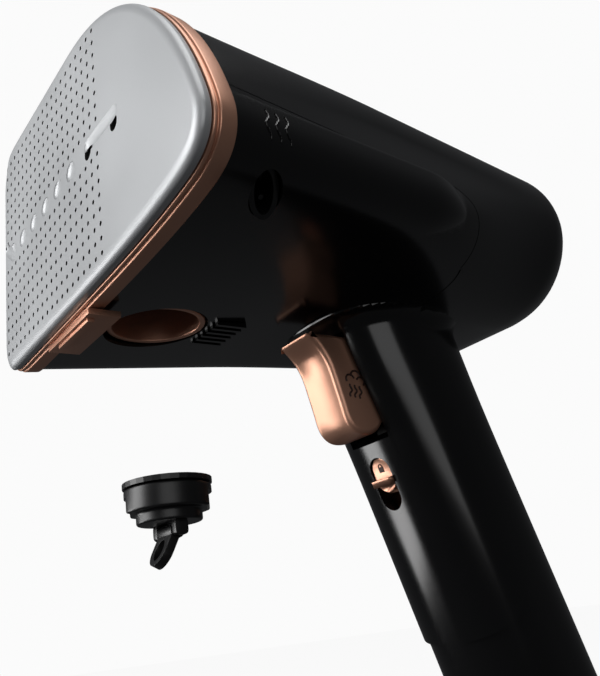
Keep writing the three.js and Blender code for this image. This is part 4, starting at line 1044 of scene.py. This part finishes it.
# ---- Finishes of the CAD pieces that stay ----
CARRIED = {
    # The rose-gold entry carries the darker painted-shade copy of the coat and lists no pieces.
    "rose_gold": (shaded_rose_gold, []),
    "satin_black": (
        satin_abs,
        ["thermostat", "heat_shield", "drain_elbow", "trigger_bracket", "microswitch", "water_pump", "cord_gland"],
    ),
    "cast": (cast_aluminium, ["steam_chamber"]),
    "steel": (
        drawn_steel,
        ["heating_element", "thermal_fuse", "trigger_pin", "trigger_spring", "cap_ring_pin", "filler_pin"]
        + ["foot_screw_left", "foot_screw_right"],
    ),
    "silicone": (red_silicone, ["plate_gasket", "neck_seal", "suction_tube", "delivery_tube"]),
    "black_silicone": (satin_abs, ["cap_seal"]),
    "tank": (smoked_tank, ["water_tank"]),
    "board": (solder_mask, ["control_board"]),
}
for slot_name, (coat, names) in CARRIED.items():
    for name in names:
        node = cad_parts[name]
        node.data.materials.clear()
        node.data.materials.append(coat)
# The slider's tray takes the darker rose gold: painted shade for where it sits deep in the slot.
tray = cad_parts["slider_tray"]
tray.data.materials.clear()
tray.data.materials.append(shaded_rose_gold)

# ---- Floor, light and camera ----
floor_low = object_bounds()[0][2]
floor_mesh = bpy.data.meshes.new("floor")
corners = [(x, y, floor_low - 0.002) for x, y in ((-6, -6), (6, -6), (6, 6), (-6, 6))]
floor_mesh.from_pydata(corners, [], [(0, 1, 2, 3)])
floor = bpy.data.objects.new("floor", floor_mesh)
bpy.context.scene.collection.objects.link(floor)
paper = finish_of("pale_paper", "#161616", "#1a1a1a", 0.9, 0.95, 400, 3, 0.01)
paper.node_tree.nodes["Principled BSDF"].inputs["Emission Color"].default_value = srgb("#f8f8f8")
paper.node_tree.nodes["Principled BSDF"].inputs["Emission Strength"].default_value = 1.0
floor.data.materials.append(paper)
floor.visible_glossy = False
floor.visible_diffuse = False

world = bpy.data.worlds.new("studio")
bpy.context.scene.world = world
world.use_nodes = True
sky = world.node_tree
sky.nodes.clear()
seen = add(sky, "ShaderNodeLightPath").outputs["Is Camera Ray"]
pale = add(sky, "ShaderNodeBackground", {"Color": srgb("#fbfbfb"), "Strength": 1.0})
dim = add(sky, "ShaderNodeBackground", {"Color": srgb("#e6e8ec"), "Strength": 0.07})
mix = add(sky, "ShaderNodeMixShader", {0: seen, 1: dim.outputs[0], 2: pale.outputs[0]})
add(sky, "ShaderNodeOutputWorld", {"Surface": mix.outputs[0]})


def softbox(name, at, towards, size, watts):
    """An area light at one point that faces another, both in the part's frame in metres."""
    light = bpy.data.lights.new(name, "AREA")
    light.shape = "RECTANGLE"
    light.size, light.size_y = size
    light.energy = watts
    lamp = bpy.data.objects.new(name, light)
    bpy.context.scene.collection.objects.link(lamp)
    lamp.location = at
    lamp.rotation_mode = "QUATERNION"
    lamp.rotation_quaternion = (Vector(towards) - Vector(at)).to_track_quat("-Z", "Y")
    lamp.visible_camera = False
    return lamp


softbox("top_softbox", (0.25, -0.1, 1.0), (0, -0.05, 0.18), (0.8, 0.8), 5)
softbox("front_softbox", (-0.35, -0.95, 0.35), (0, -0.15, 0.18), (0.6, 0.8), 9)
softbox("handle_softbox", (-0.75, -0.72, -0.05), (0, 0, 0.08), (0.3, 0.5), 3)
softbox("side_softbox", (0.95, -0.55, 0.25), (0, -0.05, 0.15), (0.8, 0.8), 2.5)

camera_data = bpy.data.cameras.new("camera")
camera_data.lens = 44.52
camera_data.sensor_width = 36.0
camera = bpy.data.objects.new("camera", camera_data)
bpy.context.scene.collection.objects.link(camera)
right = np.array([0.56037, 0.81906, -0.12299])
up = np.array([0.34044, -0.09241, 0.93571])
back = np.cross(right, up)
eye = np.array([0.18303, -0.21794, 0.07192])
pose = np.eye(4)
pose[:3] = np.stack([right, up, back / np.linalg.norm(back), eye], 1)
camera.matrix_world = Matrix(pose.tolist())
bpy.context.scene.camera = camera
bpy.context.scene.view_settings.view_transform = "Standard"
